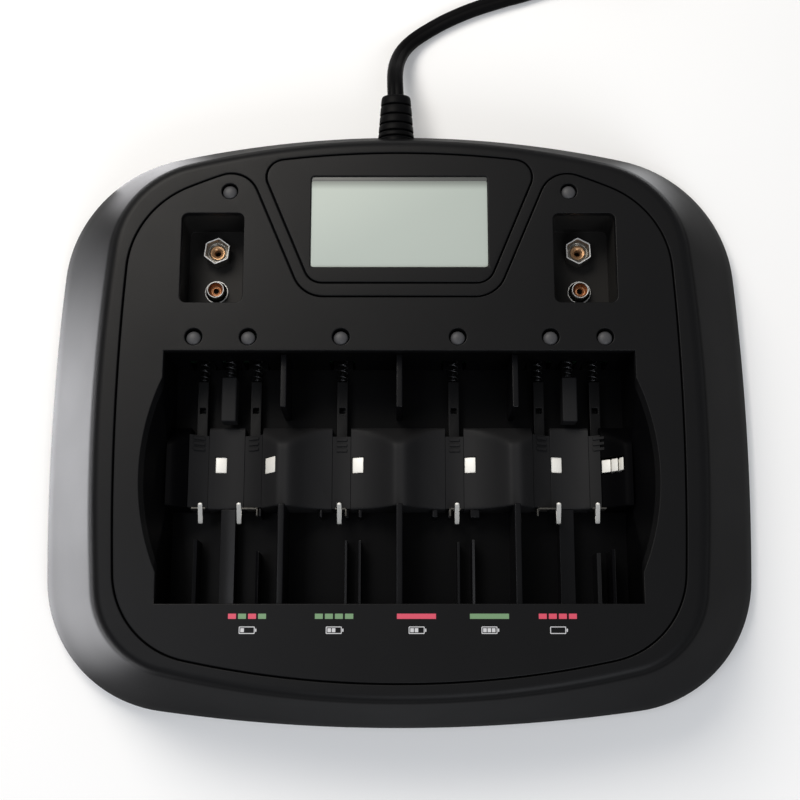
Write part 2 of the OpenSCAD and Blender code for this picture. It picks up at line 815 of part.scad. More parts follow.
// The smaller terminal of a nine volt recess, a round stud on a flange
module snap_round(k) {
    z = recess_z + eps;
    translate([snap_x[k], recess_y - snap_pitch / 2, 0])
        color([0.80, 0.80, 0.80])
            difference() {
                union() {
                    translate([0, 0, z])
                        cylinder(r = flange_r, h = 0.6, $fn = 64);
                    translate([0, 0, z])
                        cylinder(r = stud_r, h = stud_h, $fn = 64);
                    snap_pin();
                }
                translate([0, 0, z + 1])
                    cylinder(r = stud_r - 0.45, h = stud_h, $fn = 48);
                snap_hole(z + 0.4);
            }
}

// The pin of a terminal, which goes through the recess floor and its board
module snap_pin() {
    translate([0, 0, recess_z - cup_wall - snap_board_t - 0.4])
        cylinder(r = snap_pin_r, h = cup_wall + snap_board_t + 0.8, $fn = 48);
}

module snap_hole(z) {
    translate([0, 0, z])
        cylinder(r = 0.9, h = hex_h, $fn = 48);
}

module snap_board(k) {
    top = recess_z - cup_wall - eps;
    color([0.10, 0.32, 0.18])
        difference() {
            block([recess_x[k] - 7.5, recess_y - 11.5, top - snap_board_t],
                [recess_x[k] + 7.5, recess_y + 11.5, top]);
            for (end = [-1, 1])
                translate([snap_x[k], recess_y + end * snap_pitch / 2, top - snap_board_t - 1])
                    cylinder(r = snap_pin_r + 0.1, h = 4, $fn = 48);
        }
}

// One indicator lens with its light pipe, from its board to just above the deck
module light_pipe(k) {
    at_recess = k >= 6;
    side = k < 3 || k == 6 ? -1 : 1;
    x = side * (at_recess ? recess_lens_x : lens_x[k < 3 ? 2 - k : k - 3]);
    y = at_recess ? recess_lens_y : lens_y;
    low = (at_recess ? backlight_z : indicator_board_z + indicator_board_t) + eps;
    r = lens_d / 2;
    dome = 6;
    color([0.55, 0.56, 0.57])
        translate([x, y, 0])
            union() {
                translate([0, 0, low])
                    cylinder(r = r, h = deck_z - 0.2 - low, $fn = 48);
                intersection() {
                    translate([0, 0, deck_z - 0.3])
                        cylinder(r = r, h = 2, $fn = 48);
                    translate([0, 0, deck_z - 0.2 - sqrt(dome * dome - r * r)])
                        sphere(r = dome, $fn = 96);
                }
            }
}

module feet() {
    color([0.07, 0.07, 0.07])
        for (p = foot_places)
            translate([p.x, p.y, 0])
                union() {
                    cylinder(d1 = 13, d2 = 14, h = 1, $fn = 64);
                    translate([0, 0, 1 - eps])
                        cylinder(d = 14, h = body_bottom - 0.5 + eps, $fn = 64);
                }
}

module screws() {
    head_z = body_bottom + 0.3;
    color([0.6, 0.6, 0.62])
        difference() {
            union() {
                bosses(head_z, head_z + 1.6, 2.9);
                bosses(head_z + 1.5, lip_z + 12, screw_r);
            }
            for (p = boss_places, a = [0, 90])
                translate([p.x, p.y, head_z - 0.5])
                    rotate(a)
                        translate([-1.6, -0.35, 0])
                            cube([3.2, 0.7, 1.4]);
        }
}

// The ribbed strain relief: a tapered sleeve with five grooves and a flange inside the shell
module strain_relief() {
    length = relief_end - relief_y;
    count = relief_grooves + 0.6;
    color([0.08, 0.08, 0.09])
        translate([relief_x, relief_y, relief_z])
            difference() {
                union() {
                    for (k = [0:relief_grooves])
                        hull() {
                            relief_slice(k / count, length, 0);
                            relief_slice((k + 0.6) / count, length, 0);
                        }
                    hull() {
                        relief_slice(0, length, 0.9);
                        relief_slice(0.97, length, 0.9);
                    }
                    translate([0, -6, 0])
                        rotate([-90, 0, 0])
                            cylinder(r = relief_flange_r, h = 6.4, $fn = 48);
                }
                translate([-cord_w / 2, length - 1, -cord_t / 2])
                    cube([cord_w, 3, cord_t]);
            }
}

module relief_slice(t, length, shrink) {
    w = relief_w[0] + (relief_w[1] - relief_w[0]) * t - 2 * shrink;
    h = relief_h[0] + (relief_h[1] - relief_h[0]) * t - 2 * shrink;
    translate([0, t * length, 0])
        rotate([-90, 0, 0])
            linear_extrude(0.1)
                resize([w, h])
                    circle(10, $fn = 24);
}

// A flat cord swept along a route
module cord_tube(route) {
    n = 10;
    last = len(route) - 1;
    rings = [for (k = [0:last])
        let(ahead = route[min(k + 1, last)] - route[max(k - 1, 0)],
            dir = ahead / norm(ahead),
            side = cross([0, 0, 1], dir) / norm(cross([0, 0, 1], dir)),
            up = cross(dir, side))
        [for (j = [0:n - 1]) let(a = 360 * j / n)
            route[k] + side * cos(a) * cord_w / 2 + up * sin(a) * cord_t / 2]];
    skin(rings);
}

module cord() {
    color([0.07, 0.07, 0.08])
        cord_tube(cord_route);
}

module cord_end() {
    color([0.07, 0.07, 0.08])
        cord_tube(cord_tail);
}

module cord_coil() {
    inner = coil_r - coil_band / 2;
    outer = coil_r + coil_band / 2;
    color([0.07, 0.07, 0.08])
        translate([coil_centre.x, coil_centre.y, eps])
            rotate_extrude($fn = 64)
                polygon([[inner + coil_edge, 0], [outer - coil_edge, 0], [outer, coil_edge],
                    [outer, coil_h - coil_edge], [outer - coil_edge, coil_h],
                    [inner + coil_edge, coil_h], [inner, coil_h - coil_edge], [inner, coil_edge]]);
}

module plug() {
    color([0.08, 0.08, 0.09])
        translate([plug_place.x, plug_place.y, plug_z])
            union() {
                hull() {
                    plug_slice(-plug_l, plug_w, plug_h);
                    plug_slice(-plug_l + 7, plug_w, plug_h);
                    plug_slice(-plug_neck_l, plug_neck[0], plug_neck[1]);
                }
                hull() {
                    plug_slice(-plug_neck_l, plug_throat[0], plug_throat[1]);
                    plug_slice(0, plug_exit[0], plug_exit[1]);
                }
            }
}

module plug_slice(x, w, h) {
    translate([x, 0, 0])
        rotate([90, 0, 90])
            linear_extrude(0.1)
                hull()
                    for (side = [-1, 1])
                        translate([side * (w - h) / 2, 0])
                            circle(d = h, $fn = 24);
}

module plug_pins() {
    color([0.80, 0.78, 0.70])
        for (side = [-1, 1])
            translate([plug_place.x - plug_l - eps, plug_place.y + side * pin_pitch / 2, plug_z])
                rotate([0, -90, 0])
                    union() {
                        cylinder(r = pin_r - 0.1, h = sleeve_l, $fn = 32);
                        translate([0, 0, sleeve_l - eps])
                            cylinder(r = pin_r, h = pin_l - pin_r - sleeve_l + eps, $fn = 32);
                        translate([0, 0, pin_l - pin_r])
                            intersection() {
                                cylinder(r = pin_r, h = pin_r, $fn = 32);
                                sphere(r = pin_r, $fn = 32);
                            }
                    }
}

upper_shell();
lower_shell();
deck_panel();
display_cover();
lcd_panel();
lcd_backlight();
display_board();
indicator_board();
main_board();
transformer();
filter_capacitor();
cell_tray();
front_contacts();
sense_pads();
for (i = [0:5]) {
    slider(i);
    contact(i);
    slider_spring(i);
}
plunger(-1);  // plunger_left
plunger(1);  // plunger_right
plunger_spring(-1);  // plunger_spring_left
plunger_spring(1);  // plunger_spring_right
snap_hex(0);  // snap_hex_left
snap_hex(1);  // snap_hex_right
snap_round(0);  // snap_round_left
snap_round(1);  // snap_round_right
snap_board(0);  // snap_board_left
snap_board(1);  // snap_board_right
for (k = [0:7])
    light_pipe(k);
feet();
screws();
strain_relief();
cord();
cord_coil();
cord_end();
plug();
plug_pins();
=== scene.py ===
"""Looks of the battery charger: one mesh, or a few, for each piece of the CAD frame.

Sizes are in millimetres, as in the part's source, and become metres in Form.piece().
"""
import math

import bmesh
import bpy
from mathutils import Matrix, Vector


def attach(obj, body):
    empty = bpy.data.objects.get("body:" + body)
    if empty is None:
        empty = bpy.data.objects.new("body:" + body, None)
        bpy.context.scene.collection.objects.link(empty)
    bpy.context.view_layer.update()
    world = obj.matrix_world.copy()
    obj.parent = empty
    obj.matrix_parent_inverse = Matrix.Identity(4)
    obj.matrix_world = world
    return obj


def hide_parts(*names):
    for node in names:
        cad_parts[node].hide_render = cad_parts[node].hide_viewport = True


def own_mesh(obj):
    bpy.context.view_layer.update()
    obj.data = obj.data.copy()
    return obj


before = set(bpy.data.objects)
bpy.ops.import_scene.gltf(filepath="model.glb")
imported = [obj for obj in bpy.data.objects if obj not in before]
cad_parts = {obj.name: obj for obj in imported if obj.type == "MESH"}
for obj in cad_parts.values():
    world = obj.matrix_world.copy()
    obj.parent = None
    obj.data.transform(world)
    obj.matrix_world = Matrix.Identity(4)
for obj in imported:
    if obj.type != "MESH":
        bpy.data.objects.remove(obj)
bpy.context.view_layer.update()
MM = 0.001
# How far pieces that touch stand apart or reach into each other
LAP = 0.05

# Camera, solved from the photograph
CAMERA_PLACE = (0.0002, -0.08715, 0.4287)
CAMERA_TILT = 12.4
CAMERA_LENS = 60.165

# Body
DECK_Z = 38.0
BODY_BOTTOM = 2.0
SEAM_Z = BODY_BOTTOM + 2.6
LIP_Z = SEAM_Z + 1.4
WALL = 2.3
FILLET_DROP = 3.0
FILLET_RUN = 2.6
PANEL_T = 2.4
PANEL_Z = DECK_Z - PANEL_T
LEDGE_Z = PANEL_Z - 2.2
GROOVE_W = 0.45
LEDGE_W = 2.4
EDGE_R = 0.3
FOOT_PLACES = [(x, y) for x in (-88, 88) for y in (-74, 64)]
SCREW_PLACES = [(x, y) for x in (-84.5, 84.5) for y in (-58, 48)]
FOOT_SEAT_R = 7.2
SCREW_WELL_R = 3.4
VENT_X = 42.0
VENT_PITCH = 4.0
VENT_HALF_W = 0.9
VENT_Y = (40, 62)

# A crowned outline is half width, front, back, front radius, back radius,
# side radius, side centre, front corner radius, back corner radius
BASE = (111.9, -97.4, 96.6, 539, 337, 807, -8.2, 42.5, 45.5)
DECK = (91.2, -89.5, 81.8, 299, 270, 532, -9.3, 26, 30.7)
PANEL = (84.7, -84.2, 79.6, 298, 165, 800, -7, 26.7, 29.9)
STEPS = 24

# Notch of the panel and the display cover in it
NOTCH_FRONT = 30.85
NOTCH_HALF_W = 29.8
NOTCH_SLOPE = 0.42
NOTCH_R = 10.0
PANEL_CORNER_R = 8.5
COVER_FRONT = 35.65
COVER_HALF_W = 27.3
COVER_CORNER = (44.9, 78.0)
COVER_CORNER_R = 5.5
COVER_BACK = 77.45
COVER_CROWN_R = 298.0
WINDOW_HALF_W = 27.3
WINDOW_FRONT = 40.5
WINDOW_BACK = 70.0
LCD_Z = DECK_Z - 5.4
LCD_TOP = PANEL_Z - 0.2
PANE_TOP = DECK_Z - 0.6
LCD_HALF_W = WINDOW_HALF_W + 1.6
LCD_FRONT = WINDOW_FRONT - 1.8
LCD_BACK = WINDOW_BACK + 1.8

# Cell bay
BAY_HALF_W = 71.1
BAY_FRONT = -61.6
BAY_BACK = 14.05
TRAY_FRONT = BAY_FRONT - 0.9
TRAY_BACK = BAY_BACK + 0.55
TRAY_FLOOR_Z = 10.6
TRAY_T = 1.6
SCOOP_R = 73.8
SCOOP_REACH = 6.0
SCOOP_DEPTH = 15.0
SCOOP_Y = -23.4
SCOOP_X = BAY_HALF_W + SCOOP_REACH - SCOOP_R
CELL_PITCH = 35.4
TROUGH_R = 17.0
TROUGH_Z = DECK_Z - 3.5
TROUGH_X = [k * CELL_PITCH for k in (-1.5, -0.5, 0.5, 1.5)]
RIB_X = [-CELL_PITCH, 0.0, CELL_PITCH]
RIB_W = 2.0
RIB_Z = DECK_Z - 6.4
RAIL_Z = DECK_Z - 13.4
SADDLE_FRONT = -31.5
SADDLE_BACK = -5.8
SADDLE_CUSP_BACK = -11.7
SADDLE_TOP = DECK_Z - 11.4
SADDLE_EDGE_R = 0.7
# Softness of the saddle where troughs meet its top and where its back falls away
CREST_SOFT = 3.5
FALL_SOFT = 1.2

# Contact sliders
SLOT_X = [-62.1, -45.3, -18.0, 17.2, 44.1, 61.8]
BLADE_X = [-60.3, -48.6, -18.2, 17.5, 48.3, 60.1]
# A narrow rail in front of the saddle is middle, width and back end, a stub is middle and width
RAILS = [(-62.3, 1.1, -41.0), (-43.3, 0.9, -44.7), (-16.4, 0.9, -41.0), (-12.2, 0.9, -41.0),
    (18.2, 0.9, -41.4), (22.7, 1.0, -40.8), (60.9, 1.3, -45.0), (65.0, 0.9, -44.2)]
STUBS = [(-42.8, 0.7), (-24.2, 0.8), (-16.2, 1.0), (-12.1, 1.0), (11.0, 1.6), (15.6, 0.9), (23.4, 2.8)]
STUB_L = 2.4
WIDE_RAIL_X = [-52.8, 51.6]
WIDE_RAIL_W = 4.6
FRONT_CONTACT_X = [-60.4, -45.2, -18.2, 17.0, 44.8, 58.9]
PAD_X = [-55.5, -39.6, -12.9, 22.0, 48.9, 66.5]
PAD_Y = [-17.55, -18.6, -17.6, -17.55, -17.55, -18.4]
PAD_W = 3.4
PAD_L = 4.9
PAD_GAP = 0.15
# The last pad's extent, its three parts that show and the floor below them
PAD_SPAN = (62.6, 68.4)
PAD_PARTS = [(62.65, 65.1), (65.4, 67.0), (67.5, 68.35)]
PAD_LOW = 18.6
STRIP_HALF_W = 2.6
ARM_HALF_W = 1.7
SLIDER_Z = TRAY_FLOOR_Z + 0.3
ARM_TOP = DECK_Z - 22.8
STRIP_FRONT = SADDLE_FRONT + 0.3
STRIP_BACK = -8.5
ARM_BACK = 9.7
# The hole in an arm: half width, front, back and depth
ARM_HOLE = (0.9, -0.6, 1.2, 3.8)
GRIP_HALF_W = 1.6
GRIP_L = 0.8
GRIP_PITCH = 1.7
GATE_HALF_W = 4.0
GATE_TOP = 22.6
GUIDE_START = 28.5
SPRING_R = 1.4
SPRING_WIRE = 0.2
SPRING_GAP = 0.4
SPRING_TURNS = 26
SPRING_Z = 13.05
SLIDER_TRAVEL = 36.0
SPRING_END = ARM_BACK + SLIDER_TRAVEL + 12
PLATE_HALF_W = 1.8
BLADE_W = 1.3
BLADE_T = 0.5
BLADE_LEAN = 4.7
BLADE_FOOT_Y = SADDLE_FRONT - 4.3
BLADE_TOP = DECK_Z - 7.5
PLUNGER_X = 1.5 * CELL_PITCH
PLUNGER_W = 4.7
PLUNGER_FRONT = -4.5
PLUNGER_TOP = DECK_Z - 16
PLUNGER_Z = PLUNGER_TOP - 6.5
PLUNGER_SPRING_Z = PLUNGER_Z + 3.25
PLUNGER_TRAVEL = 5.0
PLUNGER_SPRING_END = ARM_BACK + PLUNGER_TRAVEL + 6.1
PLUNGER_SPRING_TURNS = 7

# Nine volt recesses and indicators
RECESS_X = (-57.45, 56.95)
HEX_PLACE = ((-57.7, 49.7), (56.6, 49.7))
STUD_PLACE = ((-58.0, 37.4), (57.1, 37.3))
HEX_TURN = (23.0, 32.0)
RECESS_Y = 43.55
RECESS_W = 19.1
RECESS_L = 28.6
RECESS_Z = DECK_Z - 17.2
CUP_WALL = 1.2
SNAP_Z = RECESS_Z + LAP
HEX_R = 4.45
HEX_TOP = SNAP_Z + 5.2
STUD_TOP = SNAP_Z + 3.5
LENS_D = 4.4
LENS_X = [17.7, 45.8, 62.3]
LENS_Y = 18.0
LENS_LOW = 28.0
RECESS_LENS_X = 52.5
RECESS_LENS_Y = 64.75

# Printed bars (colour, from, to) and the pictures below them (place, level)
BAR_Y = (-65.98, -64.48)
BARS = [("r", -49.5, -47.2), ("g", -46.6, -44.3), ("r", -43.7, -41.4), ("g", -40.8, -38.5),
    ("g", -24.4, -22.1), ("g", -21.5, -19.2), ("g", -18.6, -16.3), ("g", -15.7, -13.3),
    ("r", -0.7, 10.6), ("g", 20.4, 31.7),
    ("r", 40.3, 42.6), ("r", 43.2, 45.5), ("r", 46.1, 48.4), ("r", 49.0, 51.3)]
PICTURE_Y = -69.2
PICTURES = [(-44.0, 1), (-18.9, 2), (5.0, 2), (26.0, 3), (45.8, 0)]
PICTURE_HALF = (2.3, 1.05)
PICTURE_LINE = 0.24
LEVEL_W = 1.02

# Cord, from its strain relief to its plug
CORD_W = 5.4
CORD_T = 3.4
RELIEF = (-1.1, 90.6, 16.5)
RELIEF_END = 106.4
RELIEF_W = (12.0, 9.6)
RELIEF_H = (9.0, 6.6)
RELIEF_GROOVES = (91.3, 93.3, 96.1, 99.3, 102.8)
CORD_ROUTE = [(-1.2, 105.9, 16.5), (-1.4, 111, 15.8), (-1.4, 117, 12.8), (-0.7, 123, 8.6), (1.2, 129, 4.8),
    (4.7, 133.9, 2.7), (9.8, 138, 1.9), (16.4, 142, 1.8), (25.5, 146.2, 1.8), (36.5, 150, 1.8),
    (48, 153.4, 2.2), (60, 157, 2.8), (70, 159.9, 2.8)]
CORD_TAIL = [(40, 209.4, 8.1), (37.4, 203.4, 7.4), (33.4, 198.4, 6.2), (28, 194.6, 4.9), (21.6, 192.4, 4.3),
    (14.6, 191.6, 4.7), (8, 191.6, 5.8), (2, 191.6, 6.8), (-3, 191.6, 6.85)]
ON_EDGE_X = 36.0
# Stations over which the cord turns on edge, and turns flat again
ROLL_IN = 18
ROLL_OUT = 10
COIL_CENTRE = (74.0, 197.0)
COIL_R = 31.0
COIL_BAND = 14.0
COIL_H = 11.0
COIL_ROWS = 4
COIL_PITCH = 3.5
COIL_LAYERS_Z = (2.8, 8.25)
COIL_START = -75.0
COIL_SHIFT = 50.0
COIL_TURNS = 7.652
TIE_ANGLE = 20.0
TIE_W = 6.0
PLUG_PLACE = (0.0, 191.6)
PLUG_L = 36.0
PLUG_W = 35.0
PLUG_H = 13.6
PIN_PITCH = 19.0
PLUG_Z = PLUG_H / 2 + LAP
PIN_L = 19.0
PIN_R = 2.0
SLEEVE_L = 10.0


# Colours and materials

GRAIN = 1400.0


def shade(text):
    """A colour written as in a picture, as linear light."""
    channels = [int(text[i:i + 2], 16) / 255 for i in (1, 3, 5)]
    return (*[c / 12.92 if c <= 0.04045 else ((c + 0.055) / 1.055) ** 2.4 for c in channels], 1.0)


def nodes_of(name):
    material = bpy.data.materials.new(name)
    material.use_nodes = True
    tree = material.node_tree
    return material, tree, tree.nodes["Principled BSDF"]


def feed(tree, inputs, values):
    """Sets inputs to plain values, or joins them to the outputs of other nodes."""
    for key, value in values.items():
        if isinstance(value, bpy.types.NodeSocket):
            tree.links.new(value, inputs[key])
        else:
            inputs[key].default_value = value


def node(tree, kind, values, **settings):
    """A new shader node. Returns its outputs."""
    made = tree.nodes.new("ShaderNode" + kind)
    for name, value in settings.items():
        setattr(made, name, value)
    feed(tree, made.inputs, values)
    return made.outputs


def maths(tree, operation, *values):
    return node(tree, "Math", dict(enumerate(values)), operation=operation)["Value"]


def noise(tree, scale):
    place = node(tree, "TexCoord", {})["Object"]
    return node(tree, "TexNoise", {"Scale": scale, "Detail": 3.0, "Roughness": 0.5, "Vector": place})["Fac"]


def fade_along(tree, axis, start, end, low=0.0, high=1.0, **settings):
    """A value that goes from low to high between two places on an axis of the object."""
    axes = node(tree, "SeparateXYZ", {"Vector": node(tree, "TexCoord", {})["Object"]})
    return node(tree, "MapRange", {"Value": axes[axis], "From Min": start * MM, "From Max": end * MM,
        "To Min": low, "To Max": high}, **settings)["Result"]


def surface(name, colour, roughness, metallic=0.0, specular=0.5, variation=0.1, grain_depth=0.02,
        patches=25.0):
    """A plain finish: patchy colour, uneven roughness and a fine moulded or rolled grain."""
    material, tree, shader = nodes_of(name)
    dark, pale = [(*[min(1, c * (1 + v)) for c in shade(colour)[:3]], 1) for v in (-variation, variation)]
    patchy = node(tree, "Mix", {"A": dark, "B": pale, "Factor": noise(tree, patches)}, data_type="RGBA")
    uneven = node(tree, "MapRange", {"To Min": roughness * 0.92, "To Max": roughness * 1.08,
        "Value": noise(tree, patches * 2.3)})
    grain = node(tree, "Bump", {"Strength": 0.35, "Distance": grain_depth * MM, "Height": noise(tree, GRAIN)})
    feed(tree, shader.inputs, {"Metallic": metallic, "Specular IOR Level": specular,
        "Base Color": patchy["Result"], "Roughness": uneven["Result"], "Normal": grain["Normal"]})
    return material


def shell_finish():
    """The shell's finish: satin on the deck's rim, duller down the skirt."""
    material = surface("satin_body", "#101011", 0.42, specular=0.13, grain_depth=0.03)
    tree = material.node_tree
    fade = fade_along(tree, "Z", DECK_Z - 1.6, DECK_Z - 0.1, 0.01, 0.13)
    feed(tree, tree.nodes["Principled BSDF"].inputs, {"Specular IOR Level": fade})
    return material


def glass_finish():
    """The display's face, with a painted shadow: it darkens softly towards its back edge, where the window's
    back wall shades it.
    """
    material = surface("lcd_glass", "#b1b9b2", 0.45, specular=0.15, variation=0.02, grain_depth=0.005,
        patches=12)
    tree = material.node_tree
    colour = tree.nodes["Principled BSDF"].inputs["Base Color"]
    # Painted shadow: the glass colour darkens towards the window's back wall
    fade = fade_along(tree, "Y", WINDOW_BACK - 4.6, WINDOW_BACK - 1.2, interpolation_type="SMOOTHSTEP")
    shadow = node(tree, "Mix", {"Factor": fade, "A": colour.links[0].from_socket, "B": shade("#7d827d")},
        data_type="RGBA")
    tree.links.new(shadow["Result"], colour)
    return material


BODY = shell_finish()
PANEL_FINISH = surface("satin_panel", "#101011", 0.40, specular=0.13, grain_depth=0.03)
# Lighter than the deck's plastic: painted light, so that the recess floors look as lit as the deck
RECESS_LIT_FINISH = surface("recess_plastic_lit", "#232221", 0.5, specular=0.12, grain_depth=0.03)
TRAY = surface("tray_plastic", "#050506", 0.4, specular=0.07)
# A darker copy of the tray's plastic: painted shade on the saddle's ends, outside the outer sliders
SADDLE_END_SHADE = surface("tray_painted_shade", "#030304", 0.6, specular=0.03)
# Lighter than the rest of the tray's plastic: painted light for the soft sheen on the saddle's top
SADDLE_SHEEN_FINISH = surface("saddle_plastic_sheen", "#1e1e1f", 0.55, specular=0.1)
RAIL = surface("rail_plastic", "#08080a", 0.3, specular=0.2, grain_depth=0.005)
STRIP = surface("slider_plastic", "#1c1c1d", 0.55, specular=0.1)
# Darker than the strips of the same sliders: painted shade, for the arms lie in the shaded back of the bay
SHADED_ARM = surface("arm_plastic_shaded", "#09090a", 0.4, specular=0.15)
METAL = surface("contact_metal", "#f1efe9", 0.5, metallic=0.1, variation=0.04, patches=300)
# Darker than the blades of the same strips: painted shade on the foot plates and side leaves
SHADED_PLATE = surface("contact_plate_shaded", "#4a4844", 0.4, metallic=0.7, variation=0.08, patches=300)
# Dark steel, darkened further as painted shade, for the springs lie in the shaded back of the bay
SHADED_STEEL = surface("spring_steel", "#4c4c4e", 0.35, metallic=0.9)
SNAP = surface("snap_metal", "#8b8780", 0.3, metallic=0.85, variation=0.02, grain_depth=0.001)
# A near-white, less metallic copy of the snap metal: a painted highlight on the rolled edges
SNAP_EDGE_HIGHLIGHT = surface("snap_edge_highlight", "#dadad9", 0.4, metallic=0.3, variation=0.02, grain_depth=0.001)
COPPER = surface("snap_copper", "#9a6845", 0.35, metallic=0.7, variation=0.05)
COPPER_PALE = surface("snap_copper_pale", "#b48d68", 0.35, metallic=0.7, variation=0.05)
# Black with little sheen: painted shade put in the snaps' holes and in the groove round the stud
BORE_SHADE = surface("snap_bore_shade", "#070605", 0.8, specular=0.05)
BOARD = surface("circuit_board", "#12301f", 0.4, variation=0.15, patches=60)
GLASS = glass_finish()
# A grey strip at the window's back edge: painted shade under the window's back wall
BACK_SHADE_STRIP = surface("lcd_rim", "#4e4f4d", 0.5)
BACKLIGHT = surface("lcd_backlight", "#d5d7cf", 0.5)
LENS = surface("lens_plastic", "#3f3f41", 0.5, specular=0.3, variation=0.12, patches=900)
INK_RED = surface("ink_red", "#cf4a60", 0.45, variation=0.04)
INK_GREEN = surface("ink_green", "#6e9069", 0.45, variation=0.04)
INK_WHITE = surface("ink_white", "#c4c4c6", 0.45, variation=0.04)
TAPE = surface("transformer_tape", "#c9a63a", 0.45)
SLEEVE = surface("capacitor_sleeve", "#23284a", 0.35)
RUBBER = surface("foot_rubber", "#101010", 0.85, grain_depth=0.08)
SCREW = surface("screw_steel", "#8d8d90", 0.35, metallic=1.0)
SHEATH = surface("cord_sheath", "#0b0b0c", 0.45, specular=0.04, grain_depth=0.03)
PLUG_FINISH = surface("plug_plastic", "#121213", 0.4, specular=0.2, grain_depth=0.03)
PIN = surface("pin_metal", "#cfcabb", 0.24, metallic=1.0)


# Mesh helpers

class Form:
    """One mesh in the making, in millimetres."""

    def __init__(self):
        self.bm = bmesh.new()

    def ring(self, points):
        return [self.bm.verts.new(p) for p in points]

    def flat_ring(self, loop, z):
        return self.ring([(x, y, z) for x, y in loop])

    def walls(self, rings, keep=lambda i: True):
        """Walls from each ring to the next, where keep allows them."""
        for a, b in zip(rings, rings[1:]):
            for i in range(len(a)):
                j = (i + 1) % len(a)
                if keep(i):
                    self.bm.faces.new((a[i], a[j], b[j], b[i]))

    def skin(self, rings, closed=False):
        """Walls through rings, with end caps unless the rings themselves close."""
        made = [self.ring(r) for r in rings]
        self.walls(made)
        if closed:
            self.walls([made[-1], made[0]])
        else:
            self.bm.faces.new(made[0])
            self.bm.faces.new(made[-1])

    def fill(self, *rings):
        """A flat cap inside the first ring and outside the others."""
        edges = []
        for ring in rings:
            for a, b in zip(ring, ring[1:] + ring[:1]):
                edges.append(self.bm.edges.get((a, b)) or self.bm.edges.new((a, b)))
        bmesh.ops.triangle_fill(self.bm, use_beauty=True, use_dissolve=False, edges=edges)

    def prism(self, profile, axis, start, end):
        """A bar whose profile is given in the two other axes, in their order."""
        def at(p, t):
            return {"x": (t, *p), "y": (p[0], t, p[1]), "z": (*p, t)}[axis]
        self.skin([[at(p, start) for p in profile], [at(p, end) for p in profile]])

    def box(self, low, high):
        x0, x1 = sorted((low[0], high[0]))
        self.prism([(x0, low[1]), (x1, low[1]), (x1, high[1]), (x0, high[1])], "z", low[2], high[2])

    def soften(self, width, segments=2, over=30.0):
        """Rounds every edge that bends by more than the angle."""
        bmesh.ops.recalc_face_normals(self.bm, faces=self.bm.faces)
        sharp = [e for e in self.bm.edges
            if len(e.link_faces) == 2 and e.calc_face_angle(0) > math.radians(over)]
        bmesh.ops.bevel(self.bm, geom=sharp, offset=width, segments=segments, affect="EDGES", profile=0.5,
            clamp_overlap=True)

    def piece(self, name, material, slot, nodes=(), body="housing", sharp=35.0, even=False):
        """The finished piece. With even, large flat faces rule the shading of the rounded edges."""
        bmesh.ops.recalc_face_normals(self.bm, faces=self.bm.faces)
        bmesh.ops.scale(self.bm, vec=(MM, MM, MM), verts=self.bm.verts)
        mesh = bpy.data.meshes.new(name)
        self.bm.to_mesh(mesh)
        self.bm.free()
        mesh.polygons.foreach_set("use_smooth", [True] * len(mesh.polygons))
        mesh.set_sharp_from_angle(angle=math.radians(sharp))
        mesh.materials.append(material)
        obj = bpy.data.objects.new(name, mesh)
        bpy.context.scene.collection.objects.link(obj)
        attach(obj, body)
        if nodes:
            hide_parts(*([nodes] if isinstance(nodes, str) else nodes))
        if even:
            obj.modifiers.new("even_normals", "WEIGHTED_NORMAL").keep_sharp = True
        return obj


# Outlines

def polar(centre, radius, angle):
    a = math.radians(angle)
    return (centre[0] + radius * math.cos(a), centre[1] + radius * math.sin(a))


def arc(centre, radius, start, end, count=STEPS):
    """Points from start towards end, without the last one."""
    return [polar(centre, radius, start + (end - start) * i / count) for i in range(count)]


def circle(centre, r, z, n=48):
    return [(*polar(centre, r, 360 * k / n), z) for k in range(n)]


def lathe(form, centre, profile, n=48, zero=0.0, closed=False):
    """A turned part along Z. The profile is radius and height above zero."""
    form.skin([circle(centre, r, zero + z, n) for r, z in profile], closed)


def oval(centre, y, half_w, half_h, n=32):
    """A ring across a part that runs along Y. The centre is x and z."""
    turns = [2 * math.pi * k / n for k in range(n)]
    return [(centre[0] + half_w * math.cos(a), y, centre[1] + half_h * math.sin(a)) for a in turns]


def spring_peg(form, centre, profile):
    """A turned peg behind an arm or plunger. The profile is radius and distance from its back."""
    form.skin([oval(centre, ARM_BACK + y, r, r, 24) for r, y in profile])


def heading(a, b):
    return math.degrees(math.atan2(b[1] - a[1], b[0] - a[0]))


def inner_tangent(c1, r1, c2, r2, r, side):
    """Centre of the circle of radius r that touches two larger circles from inside."""
    way = Vector(c2) - Vector(c1)
    length = way.length
    a, b = r1 - r, r2 - r
    along = (a * a - b * b + length * length) / (2 * length)
    across = math.sqrt(max(0.0, a * a - along * along))
    unit = way / length
    return tuple(Vector(c1) + unit * along + Vector((-unit.y, unit.x)) * side * across)


def inset(shape, e):
    w, front, back, rf, rb, rs, ys, cf, cb = shape
    return (w - e, front + e, back - e, rf - e, rb - e, rs - e, ys, cf - e, cb - e)


def mirrored(right):
    """A whole outline from its right half, which starts and ends on the centre line."""
    return right + [(-x, y) for x, y in right[-2:0:-1]]


